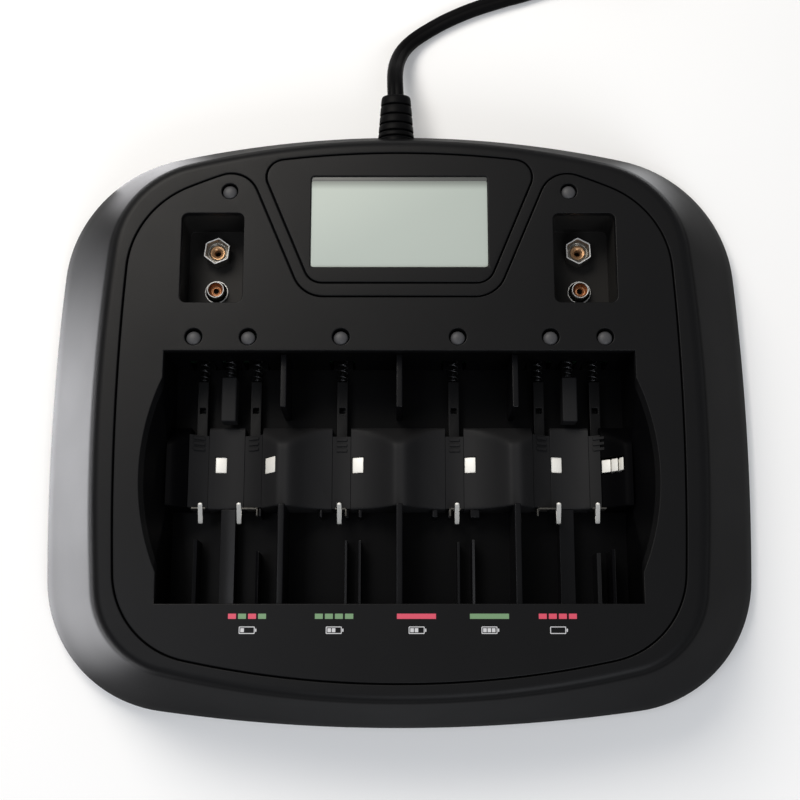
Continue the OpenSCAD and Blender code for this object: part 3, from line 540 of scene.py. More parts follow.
def crowned(shape, back_end=90, back_count=STEPS, rest=None):
    """A crowned outline. Its back may stop at an angle and go on as the rest."""
    w, y0, y1, rf, rb, rs, ys, cf, cb = shape
    front, back, side = (0, y0 + rf), (0, y1 - rb), (w - rs, ys)
    front_corner = inner_tangent(front, rf, side, rs, cf, 1)
    back_corner = inner_tangent(back, rb, side, rs, cb, -1)
    a1, a2 = heading(front, front_corner), heading(side, front_corner)
    a3, a4 = heading(side, back_corner), heading(back, back_corner)
    return mirrored(arc(front, rf, -90, a1) + arc(front_corner, cf, a1, a2) + arc(side, rs, a2, a3)
        + arc(back_corner, cb, a3, a4) + arc(back, rb, a4, back_end, back_count) + (rest or [(0, y1)]))


def offset_loop(loop, distance):
    moved = []
    for before, here, after in zip(loop[-1:] + loop[:-1], loop, loop[1:] + loop[:1]):
        into = (Vector(here) - Vector(before)).normalized()
        out = (Vector(after) - Vector(here)).normalized()
        along = (into + out).normalized()
        reach = distance / max(0.5, along.dot(out))
        moved.append((here[0] + along.y * reach, here[1] - along.x * reach))
    return moved


def rounded_rect(low, high, r, n=6):
    corners = [((high[0] - r, low[1] + r), -90), ((high[0] - r, high[1] - r), 0),
        ((low[0] + r, high[1] - r), 90), ((low[0] + r, low[1] + r), 180)]
    return [p for centre, start in corners
        for p in arc(centre, r, start, start + 90, n) + [polar(centre, r, start + 90)]]


def side_line(front_x, front_y, slope, away):
    """The sloping side of the notch or the cover, moved sideways: a point on it and its direction."""
    way = Vector((slope, 1.0)).normalized()
    return Vector((front_x, front_y)) + Vector((way.y, -way.x)) * away, way


def corner_on_circle(start, way, centre, radius, r):
    """Centre of a corner of radius r between a line and a circle around centre, inside the circle."""
    to = start - Vector(centre)
    b = to.dot(way)
    c = to.length_squared - (radius - r) ** 2
    return tuple(start + way * (math.sqrt(b * b - c) - b))


def corner_on_level(start, way, y):
    """Centre of a corner on a sloping line, at a given y."""
    return tuple(start + way * ((y - start.y) / way.y))


def panel_loop():
    """The panel's outline, with the notch for the display cover in its back."""
    back_r = PANEL[4]
    back_centre = (0, PANEL[2] - back_r)
    side = NOTCH_HALF_W, NOTCH_FRONT, NOTCH_SLOPE
    start, way = side_line(*side, PANEL_CORNER_R)
    tip = corner_on_circle(start, way, back_centre, back_r, PANEL_CORNER_R)
    inner = corner_on_level(*side_line(*side, -NOTCH_R), NOTCH_FRONT + NOTCH_R)
    line_angle = heading((0, 0), (-way.y, way.x))
    back_end = heading(back_centre, tip)
    notch = (arc(tip, PANEL_CORNER_R, back_end, line_angle, 10) + [polar(tip, PANEL_CORNER_R, line_angle)]
        + arc(inner, NOTCH_R, line_angle - 180, -90, 12) + [polar(inner, NOTCH_R, -90), (0, NOTCH_FRONT)])
    return crowned(PANEL, back_end, 6, notch)


def cover_loop():
    """The display cover's outline."""
    slope = (COVER_CORNER[0] - COVER_HALF_W) / (COVER_CORNER[1] - COVER_FRONT)
    r = COVER_CORNER_R
    start, way = side_line(COVER_HALF_W, COVER_FRONT, slope, -r)
    front = corner_on_level(start, way, COVER_FRONT + r)
    crown_centre = (0, COVER_BACK - COVER_CROWN_R)
    back = corner_on_circle(start, way, crown_centre, COVER_CROWN_R, r)
    line_angle = heading((0, 0), (way.y, -way.x))
    back_angle = heading(crown_centre, back)
    return mirrored([(0, COVER_FRONT)] + arc(front, r, -90, line_angle, 10) + [polar(front, r, line_angle)]
        + arc(back, r, line_angle, back_angle, 12) + arc(crown_centre, COVER_CROWN_R, back_angle, 90, 16)
        + [(0, COVER_BACK)])


def bay_loop(depth, front=BAY_FRONT, back=BAY_BACK):
    """The bay's edge at a depth below the deck: a box with a round finger scoop on each side."""
    radius = SCOOP_R - SCOOP_REACH * depth / SCOOP_DEPTH
    half = math.sqrt(max(0.0, radius ** 2 - (BAY_HALF_W - SCOOP_X) ** 2))
    reach = math.degrees(math.asin(half / radius))
    right = [(BAY_HALF_W, front)] + arc((SCOOP_X, SCOOP_Y), radius, -reach, reach)
    right += [polar((SCOOP_X, SCOOP_Y), radius, reach), (BAY_HALF_W, back)]
    return right + [(-x, y) for x, y in reversed(right)]


def rim_rings(form, loop, grow, foot=None):
    """A wall up to the deck with a rounded edge. grow is 1 round a hole and -1 round an outline."""
    rings = [form.flat_ring(foot or loop, PANEL_Z)]
    for a in [math.radians(30 * i) for i in range(4)]:
        around = offset_loop(loop, grow * EDGE_R * (1 - math.cos(a)))
        rings.append(form.flat_ring(around, DECK_Z - EDGE_R + EDGE_R * math.sin(a)))
    form.walls(rings)
    return rings[0], rings[-1]


def plate(form, outer, holes, foot=None):
    """A part of the deck with rounded top edges. The first hole may taper to another foot."""
    ends = [rim_rings(form, outer, -1)]
    for k, hole in enumerate(holes):
        ends.append(rim_rings(form, hole, 1, None if k else foot))
    form.fill(*[e[1] for e in ends])
    form.fill(*[e[0] for e in ends])


# Body

def blend(a, b, t):
    return [(p[0] + (q[0] - p[0]) * t, p[1] + (q[1] - p[1]) * t) for p, q in zip(a, b)]


def body_rings(form):
    """The outer form of the body: foot, skirt and the soft rim of the deck."""
    foot, edge, flat = crowned(BASE), crowned(DECK), crowned(inset(DECK, FILLET_RUN))
    rise = DECK_Z - FILLET_DROP - LIP_Z
    below = blend(foot, edge, rise / (DECK_Z - LIP_Z))
    rings = [form.flat_ring(foot, SEAM_Z)]
    for t in [k / 6 for k in range(6)]:
        rings.append(form.flat_ring(blend(foot, below, t), LIP_Z + rise * t))
    for t in [k / 8 for k in range(9)]:
        bend = blend(blend(below, edge, t), blend(edge, flat, t), t)
        rings.append(form.flat_ring(bend, DECK_Z - FILLET_DROP * (1 - t) ** 2))
    form.walls(rings)
    return rings[0], rings[-1]


def upper_shell():
    form = Form()
    low, rim = body_rings(form)
    loops = (panel_loop(), cover_loop())
    holes = [rim_rings(form, offset_loop(loop, GROOVE_W), 1) for loop in loops]
    form.fill(rim, *[h[1] for h in holes])
    inner = []
    for hole, loop in zip(holes, loops):
        ledge = [form.flat_ring(offset_loop(loop, -LEDGE_W), z) for z in (PANEL_Z, LEDGE_Z)]
        form.walls([hole[0], *ledge])
        inner.append(ledge[1])
    deep = form.flat_ring(crowned(inset(DECK, 4)), LEDGE_Z)
    form.fill(deep, *inner)
    form.walls([deep] + [form.flat_ring(crowned(inset(BASE, WALL)), z) for z in (LIP_Z, SEAM_Z)] + [low])
    form.piece("shell_upper", BODY, "body_plastic", "upper_shell", sharp=40, even=True)


def well(form, loop, depth):
    """A blind hole in the underside. Returns its rim."""
    rings = [form.flat_ring(loop, BODY_BOTTOM + z) for z in (0, depth)]
    form.walls(rings)
    form.fill(rings[1])
    return rings[0]


def lower_shell():
    """The base: a rounded foot edge, a shadow gap at the seam, vents, foot seats and screw wells."""
    form = Form()
    levels = [(2.2, BODY_BOTTOM), (1.2, BODY_BOTTOM), (0.6, BODY_BOTTOM + 0.25), (0.2, BODY_BOTTOM + 0.7),
        (0.0, BODY_BOTTOM + 1.3), (0.0, SEAM_Z - 0.55), (0.12, SEAM_Z - 0.42), (0.6, SEAM_Z - 0.4),
        (0.6, SEAM_Z + 0.1)]
    rings = [form.flat_ring(crowned(inset(BASE, e)), z) for e, z in levels]
    form.walls(rings)
    form.fill(rings[-1])
    vents = [side * VENT_X + VENT_PITCH * k for side in (-1, 1) for k in range(-4, 5)]
    corners = [((x - VENT_HALF_W, VENT_Y[0]), (x + VENT_HALF_W, VENT_Y[1])) for x in vents]
    holes = [well(form, rounded_rect(low, high, VENT_HALF_W - 0.05, 4), 2.2) for low, high in corners]
    holes += [well(form, arc(at, FOOT_SEAT_R, 0, 360, 48), 0.6) for at in FOOT_PLACES]
    holes += [well(form, arc(at, SCREW_WELL_R, 0, 360, 40), 2.0) for at in SCREW_PLACES]
    form.fill(rings[0], *holes)
    form.piece("shell_lower", BODY, "body_plastic", "lower_shell", sharp=40, even=True)


def recess_loop(x):
    half_w, half_l = RECESS_W / 2, RECESS_L / 2
    return rounded_rect((x - half_w, RECESS_Y - half_l), (x + half_w, RECESS_Y + half_l), 2)


def lens_place(k):
    """Place of indicator k, counted as the light pipes are, and whether it belongs to a recess."""
    if k >= 6:
        return (RECESS_LENS_X * (-1 if k == 6 else 1), RECESS_LENS_Y), True
    return (-LENS_X[2 - k] if k < 3 else LENS_X[k - 3], LENS_Y), False


def lens_hole(k):
    """The hole for indicator k, whose gap shows at the back."""
    (x, y), at_recess = lens_place(k)
    grow = 0.3 if at_recess else 0.42
    return arc((x, y + grow - 0.02), LENS_D / 2 + grow, 0, 360, 40)


def deck_panel():
    form, cups = Form(), Form()
    holes = [bay_loop(0)] + [recess_loop(x) for x in RECESS_X] + [lens_hole(k) for k in range(8)]
    plate(form, panel_loop(), holes, bay_loop(PANEL_T))
    form.piece("panel_of_deck", PANEL_FINISH, "deck_plastic", "deck_panel", sharp=40, even=True)
    for loop in [recess_loop(x) for x in RECESS_X]:
        steps = ((0, PANEL_Z), (0, RECESS_Z + 0.15), (-0.15, RECESS_Z))
        inner = [cups.flat_ring(offset_loop(loop, e), z) for e, z in steps]
        outer = [cups.flat_ring(offset_loop(loop, CUP_WALL), z) for z in (PANEL_Z, RECESS_Z - CUP_WALL)]
        for rings in (inner, outer):
            cups.walls(rings)
            cups.fill(rings[-1])
        cups.walls([inner[0], outer[0]])
    # The cups take the lighter finish: painted light on the recess floors
    cups.piece("recess_cups", RECESS_LIT_FINISH, "deck_plastic", "deck_panel", sharp=40, even=True)


def display_cover():
    form = Form()
    window = rounded_rect((-WINDOW_HALF_W, WINDOW_FRONT), (WINDOW_HALF_W, WINDOW_BACK), 1, 5)
    plate(form, cover_loop(), [window])
    form.piece("cover_of_display", PANEL_FINISH, "deck_plastic", "display_cover", sharp=40, even=True)


upper_shell()
lower_shell()
deck_panel()
display_cover()


# Cord, coil and plug

def smooth_route(points, step=1.5):
    """A smooth line through given points, as Catmull-Rom spans."""
    line = [Vector(p) for p in points]
    ends = [line[0] * 2 - line[1]] + line + [line[-1] * 2 - line[-2]]
    out = []
    for a, b, c, d in zip(ends, ends[1:], ends[2:], ends[3:]):
        count = max(2, round((c - b).length / step))
        for t in [i / count for i in range(count)]:
            out.append(0.5 * (2 * b + (c - a) * t + (2 * a - 5 * b + 4 * c - d) * t * t
                + (3 * b - a - 3 * c + d) * t ** 3))
    return out + [line[-1]]


def coil_line(step=6.0):
    """Turns laid inwards on the floor, then outwards on top. Each steps over just before the next."""
    radii = [COIL_R + (1.5 - k) * COIL_PITCH for k in range(COIL_ROWS)]
    turns = [(r, COIL_LAYERS_Z[0]) for r in radii] + [(r, COIL_LAYERS_Z[1]) for r in reversed(radii)]
    turns.append(turns[-1])
    line = []
    for i in range(int(COIL_TURNS * 360 / step) + 1):
        turn, angle = divmod(i * step, 360)
        t = max(0.0, (angle - 360 + COIL_SHIFT) / COIL_SHIFT)
        t = t * t * (3 - 2 * t)
        here, following = turns[int(turn)], turns[int(turn) + 1]
        radius = here[0] + (following[0] - here[0]) * t
        x, y = polar(COIL_CENTRE, radius, COIL_START + angle)
        line.append(Vector((x, y, here[1] + (following[1] - here[1]) * t)))
    return line


def two_core(n=7):
    """The outline of two round cores moulded side by side."""
    r = CORD_T / 2
    right = [polar((CORD_W / 2 - r, 0), r, -130 + 260 * k / (n - 1)) for k in range(n)]
    return right + [(-u, v) for u, v in reversed(right)]


def cord_rings(line):
    """Cross-sections of a flat two-core cord, flat on the way out and on edge in the coil."""
    last = len(line) - 1
    turned = [i for i, p in enumerate(line) if p.x > ON_EDGE_X]
    rings = []
    for i, p in enumerate(line):
        way = (line[min(i + 1, last)] - line[max(i - 1, 0)]).normalized()
        side = Vector((0, 0, 1)).cross(way).normalized()
        up = way.cross(side)
        part = min(1.0, (i - turned[0]) / ROLL_IN, (turned[-1] + 1 - i) / ROLL_OUT)
        roll = math.radians(90) * max(0.0, part)
        reach = (CORD_W - CORD_T) / 2 * math.sin(roll) + CORD_T / 2
        p = Vector((p.x, p.y, max(p.z, reach + 0.03)))
        wide = side * math.cos(roll) + up * math.sin(roll)
        thick = up * math.cos(roll) - side * math.sin(roll)
        rings.append([p + wide * u + thick * v for u, v in two_core()])
    return rings


def cord_tie():
    """A soft strap round the coil."""
    tie = Form()
    x, y = polar(COIL_CENTRE, COIL_R, TIE_ANGLE)
    out = Vector((*polar((0, 0), 1, TIE_ANGLE), 0))
    along = Vector((-out.y, out.x, 0))
    rings = []
    for k in (-0.5, -0.42, -0.2, 0, 0.2, 0.42, 0.5):
        grow = 0.7 if abs(k) < 0.45 else 0.35
        half = COIL_BAND / 2 + grow
        at = Vector((x, y, COIL_H / 2 + 0.3)) + along * TIE_W * k
        rings.append([at + out * u + Vector((0, 0, v))
            for u, v in rounded_rect((-half, -COIL_H / 2), (half, COIL_H / 2 + grow), 3, 5)])
    tie.skin(rings)
    return tie.piece("cord_tie", RUBBER, "cord_sheath")


def strain_relief():
    """The tapered sleeve with its narrow grooves."""
    start, centre = RELIEF[1], (RELIEF[0], RELIEF[2])
    rings = [oval(centre, start + y, r, r) for y, r in ((-6, 3), (-6, 5.3), (-0.4, 5.3))]
    steps = [(start - 0.35, 0.4), (start + 0.1, 0)]
    edge = ((0.55, 0), (0.32, 0.07), (0.23, 0.3), (0.2, 0.8))
    groove = [(-away, dip) for away, dip in edge] + list(reversed(edge))
    steps += [(y + away, dip) for y in RELIEF_GROOVES for away, dip in groove]
    tip = ((1.2, 0), (0.6, 0.08), (0.25, 0.25), (0.05, 0.6), (0, 1.0))
    steps += [(RELIEF_END - back, dip) for back, dip in tip]
    for y, dip in steps:
        t = max(0.0, y - start) / (RELIEF_END - start)
        half_w, half_h = [(a + (b - a) * t) / 2 - dip for a, b in (RELIEF_W, RELIEF_H)]
        rings.append(oval(centre, y, half_w, half_h))
    for back, gap in ((0, 0.25), (1, 0)):
        rings.append(oval(centre, RELIEF_END - back, CORD_W / 2 + gap, CORD_T / 2 + gap))
    form = Form()
    form.skin(rings)
    form.piece("relief", SHEATH, "cord_sheath", "strain_relief", sharp=60)


def plug_ring(x, half_w, half_h, n=40):
    """A soft rounded oblong across the plug."""
    power = 2 / (3.2 if x < -12 else 2.3)
    out = []
    for a in [2 * math.pi * k / n for k in range(n)]:
        c, s = [math.copysign(abs(v) ** power, v) for v in (math.cos(a), math.sin(a))]
        out.append((PLUG_PLACE[0] + x, PLUG_PLACE[1] + half_w * c, PLUG_Z + half_h * s))
    return out


def pin_part(name, material, slot, nodes, side, profile, sharp):
    """A turned part of a pin: distances from the plug's face, each with how much thinner it is there."""
    form = Form()
    face, y = PLUG_PLACE[0] - PLUG_L, PLUG_PLACE[1] + side * PIN_PITCH / 2
    form.skin([[(face - d, y + u, PLUG_Z + v) for u, v in arc((0, 0), PIN_R - less, 0, 360, 28)]
        for d, less in profile])
    form.piece(name, material, slot, nodes, sharp=sharp)


def plug():
    """The moulded plug with its ribbed neck, and its two pins with their sleeves."""
    form = Form()
    w, h = PLUG_W / 2, PLUG_H / 2
    stations = [(-36.0, w - 1.6, h - 1.4), (-35.7, w - 0.7, h - 0.6), (-35.0, w - 0.2, h - 0.15),
        (-34.0, w, h), (-30.0, w, h), (-28.0, w - 0.3, h - 0.05), (-25.0, w - 1.6, h - 0.3),
        (-21.0, w - 4.6, h - 0.8), (-17.0, w - 7.2, h - 1.3), (-14.0, w - 8.6, h - 1.6), (-12.0, 8.3, 4.9)]
    for k in range(5):
        x, w0, h0 = -11.4 + 2.25 * k, 6.9 - 0.65 * k, 4.9 - 0.42 * k
        stations += [(x, w0 - 0.8, h0 - 0.7), (x + 0.9, w0 - 0.8, h0 - 0.7), (x + 1.1, w0 - 0.1, h0 - 0.1),
            (x + 2.1, w0 - 0.2, h0 - 0.2)]
    stations.append((-0.1, 3.4, 2.6))
    form.skin([plug_ring(*station) for station in stations])
    form.piece("plug_body", PLUG_FINISH, "plug_plastic", "plug", sharp=50)
    sleeve = [(-0.3, 0), (0.05, 0.02), (SLEEVE_L - 0.3, 0.1), (SLEEVE_L, 0.3)]
    pin = [(SLEEVE_L - 1, 0.35), (SLEEVE_L + 0.1, 0.05), (PIN_L - 2, 0.05), (PIN_L - 1.2, 0.25),
        (PIN_L - 0.5, 0.7), (PIN_L - 0.1, 1.3), (PIN_L, 1.7)]
    for side in (-1, 1):
        pin_part(f"pin_sleeve_{side}", PLUG_FINISH, "plug_plastic", (), side, sleeve, 35)
        pin_part(f"pin_{side}", PIN, "pin_metal", "plug_pins", side, pin, 60)


line = smooth_route(CORD_ROUTE)[:-1] + coil_line() + smooth_route(CORD_TAIL)
cord_form = Form()
cord_form.skin(cord_rings(line))
cord = cord_form.piece("cord_line", SHEATH, "cord_sheath", ("cord", "cord_coil", "cord_end"), sharp=80)
tie = cord_tie()
strain_relief()
plug()

path = [p * MM for p in line]
length = sum((b - a).length for a, b in zip(path, path[1:]))
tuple(path[0])


# Cell tray

def trough_surface(x, radius=TROUGH_R):
    """Height of the troughs' surface at x."""
    away = min(abs(x - c) for c in TROUGH_X)
    return TROUGH_Z - math.sqrt(max(0.0, radius ** 2 - away ** 2))


def soft_min(a, b, r):
    """The lower of two heights, with the crease between them rounded."""
    near = max(0.0, r - abs(a - b))
    return min(a, b) - near * near / (4 * r)


def rolled(distance, r):
    """How far an edge of radius r has dropped at a distance from it."""
    near = max(0.0, r - distance)
    return r - math.sqrt(max(0.0, r * r - near * near))


def saddle_height(x, y):
    fall = (SADDLE_TOP - TROUGH_Z + TROUGH_R) / (SADDLE_BACK - SADDLE_CUSP_BACK)
    across = soft_min(trough_surface(x), SADDLE_TOP, CREST_SOFT)
    back = SADDLE_TOP - fall * (y - SADDLE_CUSP_BACK)
    return soft_min(across, back, FALL_SOFT) - rolled(y - SADDLE_FRONT, SADDLE_EDGE_R)


def steps_between(start, end, step, edges=(0.0, 0.06, 0.16, 0.35, 0.7)):
    """Sample places from start to end, closer together near both ends."""
    count = max(2, round((end - start) / step))
    places = [start + e for e in edges] + [end - e for e in edges]
    places += [start + (end - start) * k / count for k in range(count + 1)]
    return sorted({round(v, 3) for v in places if start <= v <= end})


def grid_edge(grid, i0, i1, j0, j1):
    """The vertices round a part of a grid, in order."""
    return ([grid[i][j0] for i in range(i0, i1)] + [grid[i1][j] for j in range(j0, j1)]
        + [grid[i][j1] for i in range(i1, i0, -1)] + [grid[i0][j] for j in range(j1, j0, -1)])


def height_block(form, xs, ys, height, base, pocket=None):
    """A block with a shaped top. A pocket is x0, x1, y0, y1 and the height of its floor."""
    if pocket:
        clear = {v for v in xs if min(abs(v - pocket[0]), abs(v - pocket[1])) >= 0.1}
        xs = sorted(clear | {xs[0], xs[-1], pocket[0], pocket[1]})
        ys = sorted(set(ys) | {pocket[2], pocket[3]})
    grid = [[form.bm.verts.new((x, y, height(x, y))) for y in ys] for x in xs]
    last, deep = len(xs) - 1, len(ys) - 1
    sunk = ()
    outlines = [(grid_edge(grid, 0, last, 0, deep), base)]
    if pocket:
        sunk = xs.index(pocket[0]), xs.index(pocket[1]), ys.index(pocket[2]), ys.index(pocket[3])
        outlines.append((grid_edge(grid, *sunk), pocket[4]))
    for i in range(last):
        for j in range(deep):
            if not (sunk and sunk[0] <= i < sunk[1] and sunk[2] <= j < sunk[3]):
                form.bm.faces.new((grid[i][j], grid[i + 1][j], grid[i + 1][j + 1], grid[i][j + 1]))
    for edge, floor_z in outlines:
        foot = form.ring([(v.co.x, v.co.y, floor_z) for v in edge])
        form.walls([edge, foot])
        form.fill(foot)


def pad_pocket(n, start, end):
    """The pocket for a pad, kept inside its part of the saddle."""
    x, y, reach = PAD_X[n], PAD_Y[n], PAD_L / 2 + PAD_GAP
    low, high = (x - PAD_W / 2, x + PAD_W / 2) if n < 5 else PAD_SPAN
    return (max(start + 0.1, low - PAD_GAP), min(end - 0.1, high + PAD_GAP), y - reach, y + reach,
        trough_surface(x) - 4.2 if n < 5 else PAD_LOW)


def saddle():
    """The saddle between the sliders, its pad pockets sunk into the smooth top."""
    half = STRIP_HALF_W + 0.3
    ends = [-BAY_HALF_W - LAP] + [v for x in SLOT_X[:5] for v in (x - half, x + half)]
    ends += [SLOT_X[5] - half, PAD_SPAN[0] - PAD_GAP, BAY_HALF_W + LAP]
    ys = steps_between(SADDLE_FRONT, SADDLE_BACK, 1.4, (0.0, 0.08, 0.2, 0.4, 0.7))
    low = TRAY_FLOOR_Z - LAP
    for k in range(7):
        start, end = ends[2 * k], ends[2 * k + 1]
        pockets = [pad_pocket(n, start, end) for n, x in enumerate(PAD_X) if start < x < end]
        form = Form()
        base = low
        if k == 6:
            base = ARM_TOP + 0.8
            form.box((SLOT_X[5] + half, SADDLE_FRONT, low), (end, SADDLE_BACK, base + 0.1))
        height_block(form, steps_between(start, end, 0.7), ys,
            lambda x, y: saddle_height(x, y) - rolled(min(x - start, end - x), 0.06), base, *pockets)
        # The two end parts take painted shade, the others the saddle's finish with its painted sheen
        finish = SADDLE_END_SHADE if k in (0, 6) else SADDLE_SHEEN_FINISH
        form.piece(f"tray_saddle_{k + 1}", finish, "tray_plastic", "cell_tray", sharp=50, even=True)


def tray_shell():
    """Walls and floor of the bay, with a finger scoop on each side. Its back is a piece of its own."""
    form = Form()
    back = len(bay_loop(0)) // 2 - 1
    scoop_low = 14.4

    def ring(depth, grow):
        loop = bay_loop(min(depth, scoop_low), TRAY_FRONT, TRAY_BACK)
        if depth > scoop_low:
            loop = [(math.copysign(min(abs(x), BAY_HALF_W), x), y) for x, y in loop]
        if grow:
            loop = [(x, min(y, TRAY_BACK + 1.0)) for x, y in offset_loop(loop, grow)]
        return form.flat_ring(loop, DECK_Z - depth)

    sides = []
    for grow, floor_z in ((0, TRAY_FLOOR_Z), (TRAY_T, TRAY_FLOOR_Z - TRAY_T)):
        rings = [ring(d, grow) for d in (2.45, 4.5, 7, 9.5, 11.5, 13, scoop_low, 15.2)]
        rings.append(form.flat_ring([(v.co.x, v.co.y) for v in rings[-1]], floor_z))
        form.walls(rings, lambda i: i != back)
        form.fill(rings[-1])
        sides.append(rings[0])
    form.walls(sides, lambda i: i != back)
    form.piece("tray_walls", TRAY, "tray_plastic", "cell_tray", sharp=40, even=True)


def tray_back():
    """The back wall of the bay, with a gate for each slider and each plunger."""
    form = Form()
    half = BAY_HALF_W + TRAY_T
    gates = [(x, GATE_HALF_W, GATE_TOP) for x in SLOT_X]
    gates += [(side * PLUNGER_X, PLUNGER_W / 2 + 0.45, PLUNGER_TOP + 0.6) for side in (-1, 1)]
    outline = [(half, TRAY_FLOOR_Z), (half, PANEL_Z - LAP), (-half, PANEL_Z - LAP), (-half, TRAY_FLOOR_Z)]
    for x, w, top in sorted(gates):
        outline += [(x - w, TRAY_FLOOR_Z), (x - w, top), (x + w, top), (x + w, TRAY_FLOOR_Z)]
    form.prism(outline, "y", TRAY_BACK, TRAY_BACK + 1.0)
    form.soften(0.2)
    form.piece("tray_back", TRAY, "tray_plastic", "cell_tray")


def rail(form, x, width, start, end, top):
    """A bar along Y whose top follows the troughs."""
    profile = [(x - width / 2, TRAY_FLOOR_Z - LAP), (x + width / 2, TRAY_FLOOR_Z - LAP)]
    places = [x + width * part for part in (1 / 2, 1 / 6, -1 / 6, -1 / 2)]
    profile += [(v, min(top, trough_surface(v))) for v in places]
    form.prism(profile, "y", start, end)


def tray_bars():
    """The ribs between the cells, the rails under them and the stubs at the saddle's foot."""
    ribs, rails = Form(), Form()
    low, front = TRAY_FLOOR_Z - LAP, TRAY_FRONT - LAP
    for x in RIB_X:
        for start, end in ((front, SADDLE_FRONT + 0.1), (-2, TRAY_BACK + LAP)):
            ribs.box((x - RIB_W / 2, start, low), (x + RIB_W / 2, end, RIB_Z))
    ribs.soften(0.38, 3)
    ribs.piece("tray_ribs", RAIL, "tray_plastic", "cell_tray", even=True)
    for x, width, end in [(x, WIDE_RAIL_W, SADDLE_FRONT + LAP) for x in WIDE_RAIL_X] + RAILS:
        rail(rails, x, width, front, end, RAIL_Z)
    for x, width in STUBS:
        rail(rails, x, width, SADDLE_FRONT - STUB_L, SADDLE_FRONT + LAP, trough_surface(x) - 0.8)
    rails.soften(0.4, 4)
    rails.piece("tray_rails", RAIL, "tray_plastic", "cell_tray", even=True)


def tray_guides():
    """The channels behind the bay, in which the springs lie, and a rail under each size plunger."""
    form = Form()
    low, under, half, top = TRAY_FLOOR_Z - LAP, TRAY_FLOOR_Z - TRAY_T, ARM_HALF_W + 1.4, ARM_TOP - 0.4
    end = SPRING_END + TRAY_T
    for x in SLOT_X:
        form.box((x - half, TRAY_BACK, under), (x + half, end, TRAY_FLOOR_Z))
        for wall_x in (x - half, x + half - 1):
            form.box((wall_x, GUIDE_START, low), (wall_x + 1, end, top))
        form.box((x - half, SPRING_END + LAP, low), (x + half, end, top))
    end, half = PLUNGER_SPRING_END + TRAY_T, 2.6
    for x in (-PLUNGER_X, PLUNGER_X):
        form.box((x - 1.4, 0, low), (x + 1.4, end, PLUNGER_Z - 0.2))
        form.box((x - half, TRAY_BACK + 1 - LAP, under), (x + half, end, TRAY_FLOOR_Z))
        form.box((x - half, PLUNGER_SPRING_END + LAP, low), (x + half, end, PLUNGER_TOP))
    form.soften(0.15)
    form.piece("tray_guides", TRAY, "tray_plastic", "cell_tray", even=True)


def sense_pads():
    """Folded metal pads. The last is seen between two thin bars."""
    form = Form()
    half = PAD_W / 2
    parts = [(x - half, x + half, trough_surface(x) - 4.1, PAD_L, y) for x, y in zip(PAD_X[:5], PAD_Y)]
    parts += [(*ends, PAD_LOW + 0.1, PAD_L - 1.0, PAD_Y[5]) for ends in PAD_PARTS]
    for low, high, base, length, y in parts:
        top = [(x, trough_surface(x) - 0.5) for x in (high, low)]
        form.prism([(low, base), (high, base), *top], "y", y - length / 2, y + length / 2)
    form.soften(0.2)
    form.piece("pads", METAL, "contact_metal", "sense_pads")


def front_contacts():
    """The contacts on the bay's front wall: low ones for small cells, high ones for large cells."""
    form = Form()
    y = TRAY_FRONT + LAP
    places = [(x, 1, 19, 27) for x in FRONT_CONTACT_X] + [(x, 5, 27.4, 35.2) for x in TROUGH_X]
    for x, half_w, low, high in places:
        form.box((x - half_w, y, low), (x + half_w, y + 0.8, high))
    form.soften(0.25)
    form.piece("end_contacts", METAL, "contact_metal", "front_contacts")


tray_shell()
tray_back()
tray_bars()
tray_guides()
saddle()
sense_pads()
front_contacts()


# Sliders, contacts, springs and plungers

def slider(i):
    """The strip that rides in the saddle, with its grip ridges, and the arm behind it."""
    x, node_name, body = SLOT_X[i], f"slider_{i + 1}", f"slider_{i + 1}_body"
    strip, arm = Form(), Form()
    left, right = x - STRIP_HALF_W - 0.22, (x + STRIP_HALF_W + 0.22 if i < 5 else PAD_SPAN[0] - 0.3)
    places = [right + (left - right) * k / 8 for k in range(9)]
    top = [(v, trough_surface(v, TROUGH_R + 0.15)) for v in places]
    strip.prism([(left, SLIDER_Z), (right, SLIDER_Z), *top], "y", STRIP_FRONT, STRIP_BACK)
    strip.soften(0.06)
    low = [(x - GRIP_HALF_W, SLIDER_Z + 1), (x + GRIP_HALF_W, SLIDER_Z + 1)]
    across = [x + GRIP_HALF_W * (1 - k / 3) for k in range(7)]
    ridge = [(v, trough_surface(v, TROUGH_R - 0.3)) for v in across]
    for back in [STRIP_BACK - 0.6 - GRIP_PITCH * k for k in range(3)]:
        strip.prism(low + ridge, "y", back - GRIP_L, back)
    strip.piece(f"strip_{i + 1}", STRIP, "slider_plastic", node_name, body, even=True)
    outside = (x - ARM_HALF_W, STRIP_BACK - 0.3, x + ARM_HALF_W, ARM_BACK)
    half, hole_front, hole_back, depth = ARM_HOLE
    hole = (x - half, hole_front, x + half, hole_back)
    rims = []
    for (x0, y0, x1, y1), end_z in ((outside, SLIDER_Z), (hole, ARM_TOP - depth)):
        end, rim = [arm.flat_ring([(x0, y0), (x1, y0), (x1, y1), (x0, y1)], z) for z in (end_z, ARM_TOP)]
        arm.walls([end, rim])
        arm.fill(end)
        rims.append(rim)
    arm.fill(*rims)
    arm.soften(0.22)
    spring_peg(arm, (x, SPRING_Z), [(0.85, -0.05), (0.85, 3.1), (0.6, 3.4), (0.3, 3.45)])
    arm.piece(f"arm_{i + 1}", SHADED_ARM, "slider_plastic", node_name, body, even=True)


